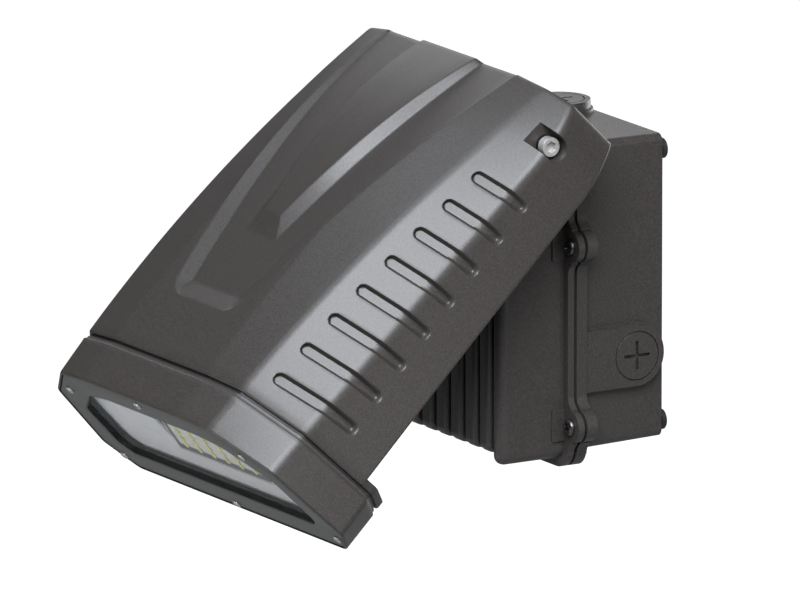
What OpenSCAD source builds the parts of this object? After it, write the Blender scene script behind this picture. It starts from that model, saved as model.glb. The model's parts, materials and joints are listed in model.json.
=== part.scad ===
// Wall pack light: a hollow wall box in two castings and a large hooded head that tilts on it.
// The origin is the centre of the mounting bosses' faces on the wall. The front is -Y and up is +Z.
// Head parts are drawn in the head's own coordinates: X across, Y = -s along the head, Z = n out of its top.

/* [Wall box] */
// Width of the rear box over its side walls at its open rim
box_w = 137.6; // [132:0.2:140]
// Height of the rear box over its top and bottom walls at its open rim
box_h = 151.2; // [146:0.2:156]
// Depth of the rear box from its back face to its open rim
box_depth = 51.2; // [46:0.2:60]
// Wall thickness of both box castings
box_wall = 3; // [2.6:0.1:3.4]
// How far each wall of the rear box draws in from rim to back
box_draft = 1; // [0.4:0.1:1.6]
// Stand-off of the back face from the wall
wall_gap = 2.4; // [1.5:0.1:4]
// Thickness of the rear box's flange
rear_flange_t = 5.7; // [4:0.1:7]
// Thickness of the gasket between the flanges
box_gasket_t = 1.6; // [1:0.1:2.4]
// Thickness of the cover's flange
front_flange_t = 3.4; // [2.6:0.1:5]
// How far both flanges stand out from the side walls
flange_reach = 4.2; // [2.5:0.1:7]
// Height over both flanges
flange_h = 166.5; // [163:0.5:170]
// Height of the cover's body
cover_h = 157; // [153:0.5:159]
// Depth of the cover's body in front of its flange
cover_depth = 35.4; // [32:0.2:37]

/* [Cover ribs] */
// Number of upright ribs on the cover's front
rib_count = 9; // [5:2:9]
// Distance from rib to rib
rib_pitch = 13.4; // [12:0.1:13.6]
// Width of the groove between two ribs
rib_groove_w = 3.2; // [2:0.1:5]
// Depth of the grooves
rib_groove_d = 5; // [3:0.1:6]
// Width of the grooves beside the corner pillars
pillar_groove_w = 5.4; // [3:0.1:6]
// Half height of the ribs
rib_foot = 74.2; // [70:0.1:75]

/* [Cover lugs] */
// Distance of the lug screws outside the flanges
lug_out = 2.6; // [1:0.1:4]
// Height of the upper lug screws
lug_top_z = 27; // [20:0.5:34]
// Height of the lower lug screws
lug_low_z = -61.6; // [-66:0.2:-55]
// Radius of the lugs
lug_r = 7.7; // [6.5:0.1:8.5]
// Radius of the cover screws' thread
cover_screw_r = 2; // [1.6:0.1:2.5]

/* [Conduit entries] */
// Radius of the screwed plugs
plug_r = 12.2; // [10:0.1:13]
// Distance of the entries' axes from the back face
entry_back = 16.4; // [16.3:0.1:20]
// Height of the side entries' axes
entry_z = -31.9; // [-38:0.1:-25]
// Height of the pads that carry the plugs
pad_h = 3; // [2:0.1:6]

/* [Wall fixing] */
// Distance of the corner fixing holes from the side walls' outside
fix_in = 18.8; // [17:0.1:24]
// Distance between the corner fixing holes upright
fix_h = 116; // [100:1:120]
// Distance between the holes that match an outlet box
outlet_w = 88.9; // [80:0.1:92]
// Radius of all fixing holes
fix_r = 2.7; // [2:0.1:3]
// Radius of the opening for the supply wires
feed_r = 11; // [8:0.5:12]

/* [Pivot] */
// Distance of the pivot axis from the wall
pivot_out = 82.6; // [81:0.1:85]
// Height of the pivot axis
pivot_z = 82.7; // [81:0.1:85]
// Station of the pivot behind the head's rear edge
pivot_y = 22.5; // [21:0.1:24]
// Depth of the pivot below the rear edge of the crease
pivot_drop = 12.9; // [12:0.1:14]
// Radius of the pivot screws
pivot_r = 3; // [2.5:0.1:3.5]
// Tilt of the head below the horizontal
head_angle = 45; // [30:1:60]

/* [Head outline] */
// Length of the head from its rear edge to its front face
head_len = 232.6; // [226:0.2:240]
// Length of the front ring
ring_len = 23.6; // [21:0.1:26]
// Half width over the ridges
ridge_hw = 101.5; // [99:0.1:104]
// Half width of the top creases at the rear
crease_hw_rear = 81.3; // [79:0.1:83]
// Half width of the top creases at the front face
crease_hw_front = 69.9; // [66:0.1:73]
// Rise of the creases above their rear ends
crease_rise = 24.6; // [21:0.1:28]
// Station where the creases are highest
crease_apex = 203.2; // [180:0.2:215]
// Height of the flat crown at its rear end
crown_rear = 4.7; // [4:0.1:6]
// Greatest height of the flat crown
crown_peak = 28.8; // [27:0.1:31]
// Station where the crown is highest
crown_apex = 166.2; // [150:0.2:175]
// Wall thickness of the hood
hood_wall = 4; // [3.6:0.1:4.4]

/* [Top relief] */
// Half width of the relief's recess at the rear
recess_hw = 59.3; // [56:0.1:61]
// Distance from the recess to the hood's front edge
recess_front = 32.5; // [28:0.5:40]
// Depth of the recess
recess_depth = 2.8; // [2:0.1:3.5]
// Half width of the tongue at the rear
tongue_hw_rear = 24.5; // [20:0.1:26]
// Half width of the tongue at its tip
tongue_hw_tip = 7.3; // [6:0.1:9]
// Distance from the tongue's tip to the end of the recess
tongue_gap = 56.5; // [50:0.5:65]

/* [Side slots] */
// Number of slots on each side
slot_count = 8; // [4:1:8]
// Distance of the foremost slot from the hood's front edge
slot_front = 16.3; // [15:0.1:20]
// Distance from slot to slot
slot_pitch = 19.4; // [18:0.1:19.6]
// Width of the slots
slot_w = 6.4; // [4:0.1:8]
// Depth of the slots
slot_depth = 2.4; // [1.5:0.1:2.8]

/* [Lamp window] */
// Thickness of the gasket between hood and front ring
ring_gasket_t = 1.3; // [1:0.1:2]
// Thickness of the window frame plate
frame_t = 2.6; // [2:0.1:3.5]
// Thickness of the glass
glass_t = 3.2; // [2.5:0.1:4]
// Half width of the window at its foot
window_hw = 92; // [84:0.5:93]
// Height of the window's upper edge
window_top = 10.4; // [9:0.1:12]
// Height of the window's lower edge
window_low = -46; // [-47:0.1:-44]

/* [Lamp board] */
// Number of lamp columns
led_columns = 6; // [2:2:8]
// Number of lamps in a column
led_rows = 9; // [2:1:10]
// Distance between lamp columns
led_pitch_x = 13; // [10:0.5:16]
// Distance between lamps in a column
led_pitch_z = 4.1; // [3.4:0.1:4.6]

/* [Hidden] */
$fn = 48;

// Overrun of every cut
cut = 1;
// Clearance between pieces that are screwed together
seat_gap = 0.1;

// Wall box places along Y, all negative in front of the wall
back_y = -wall_gap;
rim_y = back_y - box_depth;
rear_flange_y = rim_y + rear_flange_t;
gasket_y = rim_y - box_gasket_t;
flange_y = gasket_y - front_flange_t;
cover_y = flange_y - cover_depth;

// Widths that follow the box
flange_w = box_w + 2 * flange_reach;
lug_x = flange_w / 2 + lug_out;
fix_w = box_w - 2 * fix_in;

// Corner radii of the box castings
box_corner_r = 4;
flange_corner_r = 10;
cover_edge_r = 5;
gasket_inset = 1.4;

// Lug roots
lug_fillet_r = 7;
lug_pad_y = 6.7;
lug_pad_proud = 1;
cover_head_r = 4.1;
cover_head_h = 2.4;

// Conduit pads and plugs
pad_r = 14.9;
pad_foot_r = 16.2;
pad_foot_h = 1.2;
plug_len = 10;
plug_boss_r = 15;
plug_groove_w = 0.5;
plug_groove_d = 0.8;
entry_ledge = 1.5;
top_pad_extra = 2.6;
plug_slot_len = 14.3;
plug_slot_w = 1.6;
plug_slot_d = 2;
seal_w = 1.4;
seal_t = 1.2;
entry_y = back_y - entry_back;
side_pad_x = box_w / 2 + pad_h;
top_pad_z = box_h / 2 + pad_h + top_pad_extra;

// Wall bosses and pads
fix_boss_r = 7;
wall_pad_r = 5;
wall_pad_in = 4.9;

// Wiring parts in the rear box
terminal_w = 34;
terminal_h = 18;
terminal_t = 15;
terminal_z = -30;
terminal_hole_r = 1.5;
terminal_bore_r = 2.1;
terminal_head_r = 2.7;
ground_x = 34;
ground_z = 46;
ground_r = 2.4;
ground_boss_r = 6;
ground_boss_h = 4;

// Driver on the inside of the cover
driver_w = 106;
driver_h = 62;
driver_t = 24;
driver_z = -12;
driver_foot = 9;
driver_foot_t = 2;
driver_boss_r = 4;
driver_boss_h = 3;
driver_screw_r = 1.75;
driver_edge_r = 3;

// Pivot knuckles of the cover
knuckle_r = 8;
knuckle_in = 52;
knuckle_out = 86.2;
disc_t = 1;
pivot_seat_x = 91.2;
pivot_head_r = 4.7;
pivot_head_h = 4.6;
pivot_len = 20;
pivot_washer_t = 0.9;
pivot_washer_r = 5.2;
pivot_play = 0.05;
pocket_r = 6.2;
boss_r = 10.5;
boss_face_x = knuckle_out + disc_t;
socket_r = 2.5;
socket_d = 2.4;
web_foot_z = 56;

// Cable glands
gland_r = 6;
gland_hex_r = 9;
gland_hex_h = 5;
gland_dome_h = 8;
gland_nut_t = 3;
gland_hole_r = 3.2;
gland_dome_in = 2.1;
gland_behind = 6.5;
cover_gland_y = gland_behind - pivot_out;
head_gland_x = 83;
head_gland_z = -30;

// Head shape
hood_len = head_len - ring_len - ring_gasket_t;
ridge_rear_z = -8.2;
ridge_low_z = -9.6;
ridge_low_y = 37;
ridge_tuck = 5.5;
ridge_tuck_len = 25;
ridge_front_z = 0.5;
ridge_ease_r = 2.2;
side_flare = 0.26;
skirt_rear_z = -39.2;
skirt_corner_y = 30.2;
skirt_corner_z = -42.2;
skirt_front_z = -38.9;
skirt_ease_r = 1.5;
crease_power = 1.5;
crown_power = 2.3;
crown_fall = 2.1;
facet_lip = 0.8;
facet_hw = 43.5;
recess_end = hood_len - recess_front;
recess_narrow = 30;
recess_power = 1.5;
recess_wall_rear = 0.6;
recess_wall = 9.6;
recess_rear_depth = 0.8;
recess_full_y = 91;
recess_slope_len = 10.2;
recess_floor_end = recess_end - recess_slope_len;
recess_round_r = 11;
recess_end_lip = 0.7;
tongue_len = recess_end - tongue_gap;
tongue_slope_len = 12;
tongue_end = tongue_len + tongue_slope_len;
tongue_rear_z = 7;
tongue_tip_z = 28;
tongue_power = 2.3;
tongue_taper_power = 1.65;
tongue_foot_hw_rear = 28;
tongue_foot_hw_tip = 14;
tongue_foot_power = 1.3;
tongue_foot_lip = 0.5;
relief_points = 4;
edge_ease_r = 1;
slot_upper_in = 6.5;
slot_lower_z = -20;
slot_dir = 24;
slot_lean = 3.5;
facet_drop_share = 1.3;
ridge_drop_share = 0.48;
cavity_floor_z = -80;

// Front of the hood and the ring
bulkhead_t = 4;
bulkhead_y = hood_len - bulkhead_t;
flange_proud = 0.5;
ring_rear_y = head_len - ring_len;
low_side_z = -45;
low_bottom_z = -62;
low_bottom_hw = 96.5;
recess_end_shares = [0, 0.3, 0.55, 0.76, 0.92];
low_corner_shares = [[0.05, 0.14], [0.72, 0.84], [1, 1]];
ring_ease_r = 0.9;
ring_lip = 1.5;
ring_lip_len = 2.2;
ring_rim = 1.6;
frame_in = 2;
frame_sunk = 0.4;
frame_back_y = head_len - frame_sunk - frame_t;
groove_in = 2.2;
gasket_grow = 2.5;
chamber_grow = 2;

// Window: half outline written in shares of its half width, upper and lower edge
window_shares = [[0.457, 1], [0.68, 0.945], [0.955, 0.62], [1, 0.13], [0.985, 0.05], [0.965, 0.02],
    [0.93, 0]];
glass_grow = 3.5;
lens_gasket_t = 0.8;
rim_t = 1;
glass_back_y = frame_back_y - lens_gasket_t - glass_t;
reflector_back_y = glass_back_y - rim_t;

// Screws of the window frame
frame_screw_r = 1.5;
frame_head_r = 2.4;
frame_head_h = 1.3;
frame_screw_len = 7;
frame_screw_x = 81.2;
frame_screw_z = 6.5;
frame_corner_x = 100.5;
frame_corner_z = -52.1;
frame_top_z = 20.3;
frame_low_z = -57.3;
frame_places = [[0, frame_top_z], [0, frame_low_z], [frame_screw_x, frame_screw_z],
    [-frame_screw_x, frame_screw_z], [frame_corner_x, frame_corner_z], [-frame_corner_x, frame_corner_z]];

// Screws that hold the ring to the hood, driven from the hood's open side
ring_screw_r = 2;
ring_head_r = 3.4;
ring_head_h = 2.2;
ring_screw_len = 14;
ring_side_x = 95.5;
ring_side_z = -14;
ring_low_x = 62;
ring_low_z = -55.5;
ring_top_x = 34;
ring_top_z = 19.4;
ring_places = [[ring_side_x, ring_side_z], [ring_low_x, ring_low_z], [ring_top_x, ring_top_z]];

// Heat sink behind the bulkhead
sink_w = 146;
sink_top = 15;
sink_low = -35;
sink_base_t = 3;
sink_fin_h = 12;
sink_fin_t = 2;
sink_fin_pitch = 11;
sink_fin_count = 13;
sink_screw_pitch_count = 3.5;
sink_screw_x = sink_screw_pitch_count * sink_fin_pitch;
sink_screw_top = -2;
sink_screw_low = -28;
sink_screw_r = 2;
sink_head_r = 3.5;
sink_head_h = 2;
sink_screw_len = 10;

// Lamp board, leaning so that its foot is nearer the glass, and the block that carries it
board_w = 90;
board_h = 52;
board_t = 1.6;
board_tilt = 9;
board_foot_in = 9.9;
board_foot_y = head_len - board_foot_in;
board_foot_z = -40;
block_w = 84;
block_low = -37;
block_top = 9;
board_screw_r = 1.5;
board_head_r = 2.7;
board_head_h = 1.4;
board_screw_in = 4;
board_screw_len = 3;
led_size = 3;
led_t = 0.9;
led_foot = 5.4;

// Reflector
reflector_t = 1;
reflector_base_in = 10.9;
reflector_base_y = head_len - reflector_base_in;
reflector_hw = 80;
reflector_low = -38;
reflector_top = 6;
reflector_shares = [[0.5, 1], [0.72, 0.95], [0.93, 0.72], [1, 0.45], [0.985, 0.2], [0.93, 0.06], [0.82, 0]];
board_slot_gap = 0.4;

// Heights and half widths along the head, by station s from its rear edge
function arch(s, rise, apex) = rise * (1 - pow(1 - s / apex, 2));
function crown_n(s) = s < crown_apex
    ? crown_peak - (crown_peak - crown_rear) * pow(1 - s / crown_apex, crown_power)
    : crown_peak - crown_fall * pow((s - crown_apex) / (head_len - crown_apex), crease_power);
function crease_n(s) = arch(s, crease_rise, crease_apex);
function crease_hw(s) =
    crease_hw_rear - (crease_hw_rear - crease_hw_front) * pow(s / head_len, crease_power);
function between(a, b, t) = a + (b - a) * min(1, max(0, t));
function ridge_n(s) = s < ridge_low_y
    ? ridge_low_z + (ridge_rear_z - ridge_low_z) * pow(1 - s / ridge_low_y, 2)
    : between(ridge_low_z, ridge_front_z, (s - ridge_low_y) / (head_len - ridge_low_y));
function ridge_x(s) = ridge_hw - ridge_tuck * pow(1 - min(s / ridge_tuck_len, 1), 2);
function side_x(s, n) = ridge_x(s) + side_flare * s / head_len * (ridge_n(s) - n);
function skirt_n(s) = s < skirt_corner_y
    ? between(skirt_rear_z, skirt_corner_z, s / skirt_corner_y)
    : between(skirt_corner_z, skirt_front_z, (s - skirt_corner_y) / (hood_len - skirt_corner_y));

// Recess and tongue of the top relief
function recess_curve(s) = recess_hw - recess_narrow * pow(s / recess_end, recess_power);
function recess_round(s) = let (t = (s - recess_end + recess_round_r) / recess_round_r)
    t <= 0 ? 0 : recess_round_r * (1 - sqrt(1 - pow(min(t, 1), 2)));
function rim_hw(s) = let (e = min(s, recess_end)) recess_curve(e) - recess_round(e);
function recess_fall(s) = s < recess_floor_end ? 1
    : 1 - between(0, 1, (s - recess_floor_end) / (recess_end - recess_floor_end));
function depth_at(s) = between(recess_rear_depth, recess_depth, s / recess_full_y) * recess_fall(s);
function floor_n(s) = crown_n(s) - depth_at(s);
function wall_w(s) = between(recess_wall_rear, recess_wall, s / tongue_end);
function floor_hw(s) = rim_hw(s) - between(recess_end_lip, wall_w(s), recess_fall(s));
function tongue_lift(s) = 1 - between(0, 1, (s - tongue_len) / tongue_slope_len);
function tongue_top(s) =
    tongue_tip_z - (tongue_tip_z - tongue_rear_z) * pow(max(1 - s / tongue_len, 0), tongue_power);
function tongue_n(s) = between(floor_n(s), tongue_top(s), tongue_lift(s));
function tongue_hw(s) = s < tongue_len
    ? between(tongue_hw_rear, tongue_hw_tip, pow(s / tongue_len, tongue_taper_power))
    : between(tongue_hw_tip, tongue_foot_hw_tip - tongue_foot_lip, 1 - tongue_lift(s));
function tongue_base_hw(s) =
    between(tongue_foot_hw_rear, tongue_foot_hw_tip, pow(min(s / tongue_end, 1), tongue_foot_power));
function flat_hw(s) = max(rim_hw(s) + facet_lip, facet_hw);

// Plane geometry
function unit(v) = v / norm(v);
function soft_corner(a, p, b, r) = let (u = unit(a - p), w = unit(b - p))
    [p + u * r, p + (u + w) * r / 4, p + w * r];
function mirrored(half) = concat([for (i = [len(half) - 1:-1:0]) [-half[i].x, half[i].y]], half);
function ring_at(outline, s) = [for (p = outline) [p.x, -s, p.y]];
function inset(p, d) = [for (i = [0:len(p) - 1])
    let (a = unit(p[i] - p[(i + len(p) - 1) % len(p)]), b = unit(p[(i + 1) % len(p)] - p[i]),
        na = [a.y, -a.x], nb = [b.y, -b.x])
    p[i] + (na + nb) * d / (1 + na * nb)];

// Solid through a row of closed outlines that run from the left foot over the top to the right foot
module loft(rings) {
    n = len(rings[0]);
    m = len(rings);
    sides = [for (k = [0:m - 2]) for (i = [0:n - 1])
        let (a = k * n + i, b = k * n + (i + 1) % n) each [[a, b, b + n], [a, b + n, a + n]]];
    rear = [for (i = [n - 1:-1:0]) i];
    front = [for (i = [0:n - 1]) (m - 1) * n + i];
    polyhedron(points = [for (r = rings) each r], faces = concat([rear, front], sides), convexity = 6);
}

// Plate between two stations of the head with a given outline
module plate(outline, s0, s1) {
    translate([0, -s0, 0])
        rotate([90, 0, 0])
            linear_extrude(height = s1 - s0, convexity = 4)
                polygon(outline);
}

// Cylinder along the head from station s0 to station s1
module post(x, n, s0, s1, r) {
    translate([x, -s0, n])
        rotate([90, 0, 0])
            cylinder(h = s1 - s0, r = r);
}

// Moves a child from the head's coordinates to its place on the box
module on_head() {
    translate([0, -pivot_out, pivot_z])
        rotate([head_angle, 0, 0])
            translate([0, pivot_y, pivot_drop])
                children();
}

module both_sides() {
    children();
    mirror([1, 0, 0])
        children();
}

// Cylinder along X from x0 to x1
module bar(x0, x1, r) {
    translate([x0, 0, 0])
        rotate([0, 90, 0])
            cylinder(h = x1 - x0, r = r);
}

// Cylinder along Y from y0 towards the front
module pin_y(x, z, y0, len, r) {
    translate([x, y0, z])
        rotate([90, 0, 0])
            cylinder(h = len, r = r);
}

// Rounded rectangle across the box, from y0 towards the front
module rounded(w, h, r, y0, len) {
    translate([0, y0, 0])
        rotate([90, 0, 0])
            linear_extrude(height = len) {
                square([w - 2 * r, h], center = true);
                square([w, h - 2 * r], center = true);
                for (x = [-1, 1]) {
                    for (z = [-1, 1]) {
                        translate([x * (w / 2 - r), z * (h / 2 - r)])
                            circle(r = r, $fn = 32);
                    }
                }
            }
}

// Outline of one lug with a fillet above and below its ear
module lug_shape() {
    root = flange_w / 2 - lug_x;
    reach = lug_r + lug_fillet_r;
    difference() {
        union() {
            circle(r = lug_r);
            translate([root - lug_r, -reach])
                square([lug_r, 2 * reach]);
            translate([root - cut, -lug_r])
                square([cut - root, 2 * lug_r]);
            for (z = [-1, 1]) {
                translate([root, z > 0 ? lug_r : -reach])
                    square([lug_fillet_r / 2, lug_fillet_r]);
            }
        }
        for (z = [-1, 1]) {
            translate([root + lug_fillet_r, z * reach])
                circle(r = lug_fillet_r);
        }
    }
}

// Both flanges share this ring of lugs
module lugs(y0, len) {
    both_sides()
        for (z = [lug_top_z, lug_low_z]) {
            translate([lug_x, y0, z])
                rotate([90, 0, 0])
                    linear_extrude(height = len)
                        lug_shape();
        }
}

// Pad that runs from the flange to a round end about the local origin, standing h along Z
module entry_pad(r, h, run) {
    cylinder(h = h, r = r);
    translate([-run, -r, 0])
        cube([run, 2 * r, h]);
}

// Places a child at an entry: its Z points out of the box and its X towards the wall
module at_side_entry() {
    translate([0, entry_y, entry_z])
        rotate([90, 0, 90])
            children();
}

module at_top_entry() {
    translate([0, entry_y, 0])
        rotate([0, 0, 90])
            children();
}

module plug() {
    difference() {
        union() {
            translate([0, 0, -plug_len])
                cylinder(h = plug_len - plug_groove_d, r = plug_r);
            translate([0, 0, -plug_len])
                cylinder(h = plug_len, r = plug_r - plug_groove_w);
        }
        for (a = [0, 90]) {
            rotate([0, 0, a])
                translate([-plug_slot_len / 2, -plug_slot_w / 2, -plug_slot_d])
                    cube([plug_slot_len, plug_slot_w, plug_slot_d + cut]);
        }
    }
}

module seal() {
    translate([0, 0, -plug_len - seal_t])
        difference() {
            cylinder(h = seal_t, r = plug_r);
            translate([0, 0, -cut])
                cylinder(h = seal_t + 2 * cut, r = plug_r - seal_w);
        }
}

// Screw along Y: head in front of y0, shank behind it
module screw_y(x, z, y0, head_r, head_h, r, len) {
    pin_y(x, z, y0, head_h, head_r);
    pin_y(x, z, y0 + len, len, r);
}

// REAR BOX
module box_shell() {
    hull() {
        rounded(box_w, box_h, box_corner_r, rim_y + cut, cut);
        rounded(box_w - 2 * box_draft, box_h - 2 * box_draft, box_corner_r, back_y, cut);
    }
    rounded(flange_w, flange_h, flange_corner_r, rear_flange_y, rear_flange_t);
    lugs(rear_flange_y, rear_flange_t);
    both_sides()
        at_side_entry() {
            translate([0, 0, box_w / 2 - plug_len])
                entry_pad(pad_foot_r, plug_len + pad_foot_h, entry_y - rear_flange_y);
            translate([0, 0, box_w / 2 - plug_len])
                entry_pad(pad_r, plug_len + pad_h, entry_y - rear_flange_y);
        }
    at_top_entry() {
        translate([0, 0, box_h / 2 - plug_len])
            entry_pad(pad_foot_r, plug_len + pad_foot_h, entry_y - rear_flange_y);
        translate([0, 0, box_h / 2 - plug_len])
            entry_pad(pad_r, top_pad_z - box_h / 2 + plug_len, entry_y - rear_flange_y);
    }
}

module back_box() {
    inner_w = box_w - 2 * (box_wall + box_draft);
    inner_h = box_h - 2 * (box_wall + box_draft);
    floor_y = back_y - box_wall;
    color("#3d3a38")
        difference() {
            union() {
                difference() {
                    box_shell();
                    rounded(inner_w, inner_h, box_corner_r, floor_y, box_depth - box_wall + cut);
                }
                for (x = [-fix_w / 2, fix_w / 2]) {
                    for (z = [-fix_h / 2, fix_h / 2]) {
                        pin_y(x, z, 0, wall_gap + box_wall / 2, fix_boss_r);
                    }
                }
                for (x = [-outlet_w / 2, outlet_w / 2]) {
                    pin_y(x, 0, 0, wall_gap + box_wall / 2, fix_boss_r);
                }
                both_sides()
                    at_side_entry()
                        translate([0, 0, side_pad_x - plug_len - seal_t - entry_ledge])
                            cylinder(h = plug_len + seal_t, r = plug_boss_r);
                at_top_entry()
                    translate([0, 0, top_pad_z - plug_len - seal_t - entry_ledge])
                        cylinder(h = plug_len + seal_t, r = plug_boss_r);
                pin_y(ground_x, ground_z, floor_y + box_wall / 2, box_wall / 2 + ground_boss_h,
                    ground_boss_r);
            }
            for (x = [-fix_w / 2, fix_w / 2]) {
                for (z = [-fix_h / 2, fix_h / 2]) {
                    pin_y(x, z, cut, wall_gap + box_wall + 2 * cut, fix_r);
                }
            }
            for (x = [-outlet_w / 2, outlet_w / 2]) {
                pin_y(x, 0, cut, wall_gap + box_wall + 2 * cut, fix_r);
            }
            pin_y(0, 0, cut, wall_gap + box_wall + 2 * cut, feed_r);
            both_sides()
                at_side_entry() {
                    translate([0, 0, side_pad_x - plug_len - seal_t])
                        cylinder(h = plug_len + seal_t + cut, r = plug_r);
                    translate([0, 0, side_pad_x - 2 * plug_len])
                        cylinder(h = plug_len + cut, r = plug_r - seal_w);
                }
            at_top_entry() {
                translate([0, 0, top_pad_z - plug_len - seal_t])
                    cylinder(h = plug_len + seal_t + cut, r = plug_r);
                translate([0, 0, top_pad_z - 2 * plug_len])
                    cylinder(h = plug_len + cut, r = plug_r - seal_w);
            }
            both_sides()
                for (z = [lug_top_z, lug_low_z]) {
                    pin_y(lug_x, z, rear_flange_y + cut, rear_flange_t + 2 * cut, cover_screw_r);
                }
            pin_y(ground_x, ground_z, floor_y, ground_boss_h + cut, ground_r);
            for (x = [-1, 1]) {
                pin_y(x * (terminal_w / 2 - terminal_hole_r * 2), terminal_z, floor_y + box_wall / 2,
                    box_wall / 2 + cut, terminal_hole_r);
            }
        }
}

module wall_pads() {
    color("#202020")
        both_sides()
            for (z = [-1, 1]) {
                pin_y(box_w / 2 - wall_pad_in, z * (box_h / 2 - 2 * wall_pad_in + box_draft), 0,
                    wall_gap, wall_pad_r);
            }
}

module conduit_plugs() {
    color("#3d3a38") {
        both_sides()
            at_side_entry()
                translate([0, 0, side_pad_x])
                    plug();
        at_top_entry()
            translate([0, 0, top_pad_z])
                plug();
    }
}

module conduit_seals() {
    color("#1c1c1c") {
        both_sides()
            at_side_entry()
                translate([0, 0, side_pad_x])
                    seal();
        at_top_entry()
            translate([0, 0, top_pad_z])
                seal();
    }
}

module terminal_block() {
    floor_y = back_y - box_wall;
    color("#d8d5c8")
        difference() {
            translate([-terminal_w / 2, floor_y - terminal_t, terminal_z - terminal_h / 2])
                cube([terminal_w, terminal_t, terminal_h]);
            for (x = [-1, 0, 1]) {
                translate([x * terminal_w / 4, floor_y - terminal_t / 2, terminal_z - terminal_h / 2 - cut])
                    cylinder(h = terminal_h + 2 * cut, r = terminal_bore_r);
            }
            for (x = [-1, 1]) {
                pin_y(x * (terminal_w / 2 - terminal_hole_r * 2), terminal_z, floor_y + cut,
                    terminal_t + 2 * cut, terminal_hole_r);
            }
        }
}

module terminal_screws() {
    floor_y = back_y - box_wall;
    color("#b8b8b8")
        for (x = [-1, 1]) {
            screw_y(x * (terminal_w / 2 - terminal_hole_r * 2), terminal_z, floor_y - terminal_t,
                terminal_head_r, terminal_hole_r, terminal_hole_r, terminal_t + box_wall / 2);
        }
}

module ground_screw() {
    floor_y = back_y - box_wall;
    color("#2f7d46")
        screw_y(ground_x, ground_z, floor_y - ground_boss_h, ground_r * 2, ground_r, ground_r,
            ground_boss_h);
}

// COVER
module box_gasket() {
    color("#141414")
        difference() {
            rounded(flange_w - 2 * gasket_inset, flange_h - 2 * gasket_inset, flange_corner_r - gasket_inset,
                rim_y, box_gasket_t);
            rounded(box_w - 2 * box_wall, box_h - 2 * box_wall, box_corner_r, rim_y + cut,
                box_gasket_t + 2 * cut);
        }
}

// Body of the cover, with all edges of its front rounded
module cover_body() {
    r = cover_edge_r;
    x = box_w / 2 - r;
    z = cover_h / 2 - r;
    rounded(box_w, cover_h, r, flange_y + cut, cover_depth - r + cut);
    translate([-x, cover_y, -z])
        cube([2 * x, r + cut, 2 * z]);
    for (i = [-1, 1]) {
        translate([i * x, cover_y + r, -z])
            cylinder(h = 2 * z, r = r);
        translate([0, cover_y + r, i * z])
            bar(-x, x, r);
        for (j = [-1, 1]) {
            translate([i * x, cover_y + r, j * z])
                sphere(r = r);
        }
    }
}

// Grooves between the upright ribs, the outermost ones wider
module rib_grooves() {
    half = (rib_count + 1) / 2;
    for (k = [-half + 0.5:half - 0.5]) {
        w = abs(k) > half - 1 ? pillar_groove_w : rib_groove_w;
        translate([k * rib_pitch - w / 2, cover_y - cut, -rib_foot])
            cube([w, rib_groove_d + cut, 2 * rib_foot]);
    }
}

// Between the corner pillars the body ends with the ribs, whose ends are rounded
module rib_feet() {
    reach = (rib_count + 1) / 2 * rib_pitch - rib_pitch / 2 + pillar_groove_w / 2;
    translate([-reach, cover_y - cut, -cover_h / 2 - cut])
        cube([2 * reach, cover_depth + cut, cover_h / 2 + cut - rib_foot]);
    for (z = [-1, 1]) {
        difference() {
            translate([-reach, cover_y - cut, z > 0 ? rib_foot - rib_groove_d : -cover_h / 2 - cut])
                cube([2 * reach, rib_groove_d + cut, cover_h / 2 + cut - rib_foot + rib_groove_d]);
            translate([0, cover_y + rib_groove_d, z * (rib_foot - rib_groove_d)])
                bar(-reach - cut, reach + cut, rib_groove_d);
        }
    }
}

// Inside of the cover, from y0 towards the front
module cover_hollow(y0, len) {
    h = cover_h / 2 + rib_foot - 2 * box_wall;
    translate([0, 0, (cover_h / 2 - rib_foot) / 2])
        rounded(box_w - 2 * box_wall, h, box_corner_r, y0, len);
}

// Knuckle that carries the head's pivot screw, with the web that joins it to the cover
module knuckle() {
    translate([0, -pivot_out, pivot_z])
        bar(knuckle_in, knuckle_out, knuckle_r);
    hull() {
        translate([knuckle_in, -pivot_out - knuckle_r, pivot_z - cut])
            cube([knuckle_out - knuckle_in, 2 * knuckle_r, cut]);
        translate([knuckle_in, -pivot_out - knuckle_r, web_foot_z])
            cube([box_w / 2 - knuckle_in - box_wall, 2 * knuckle_r, cut]);
    }
}

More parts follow.
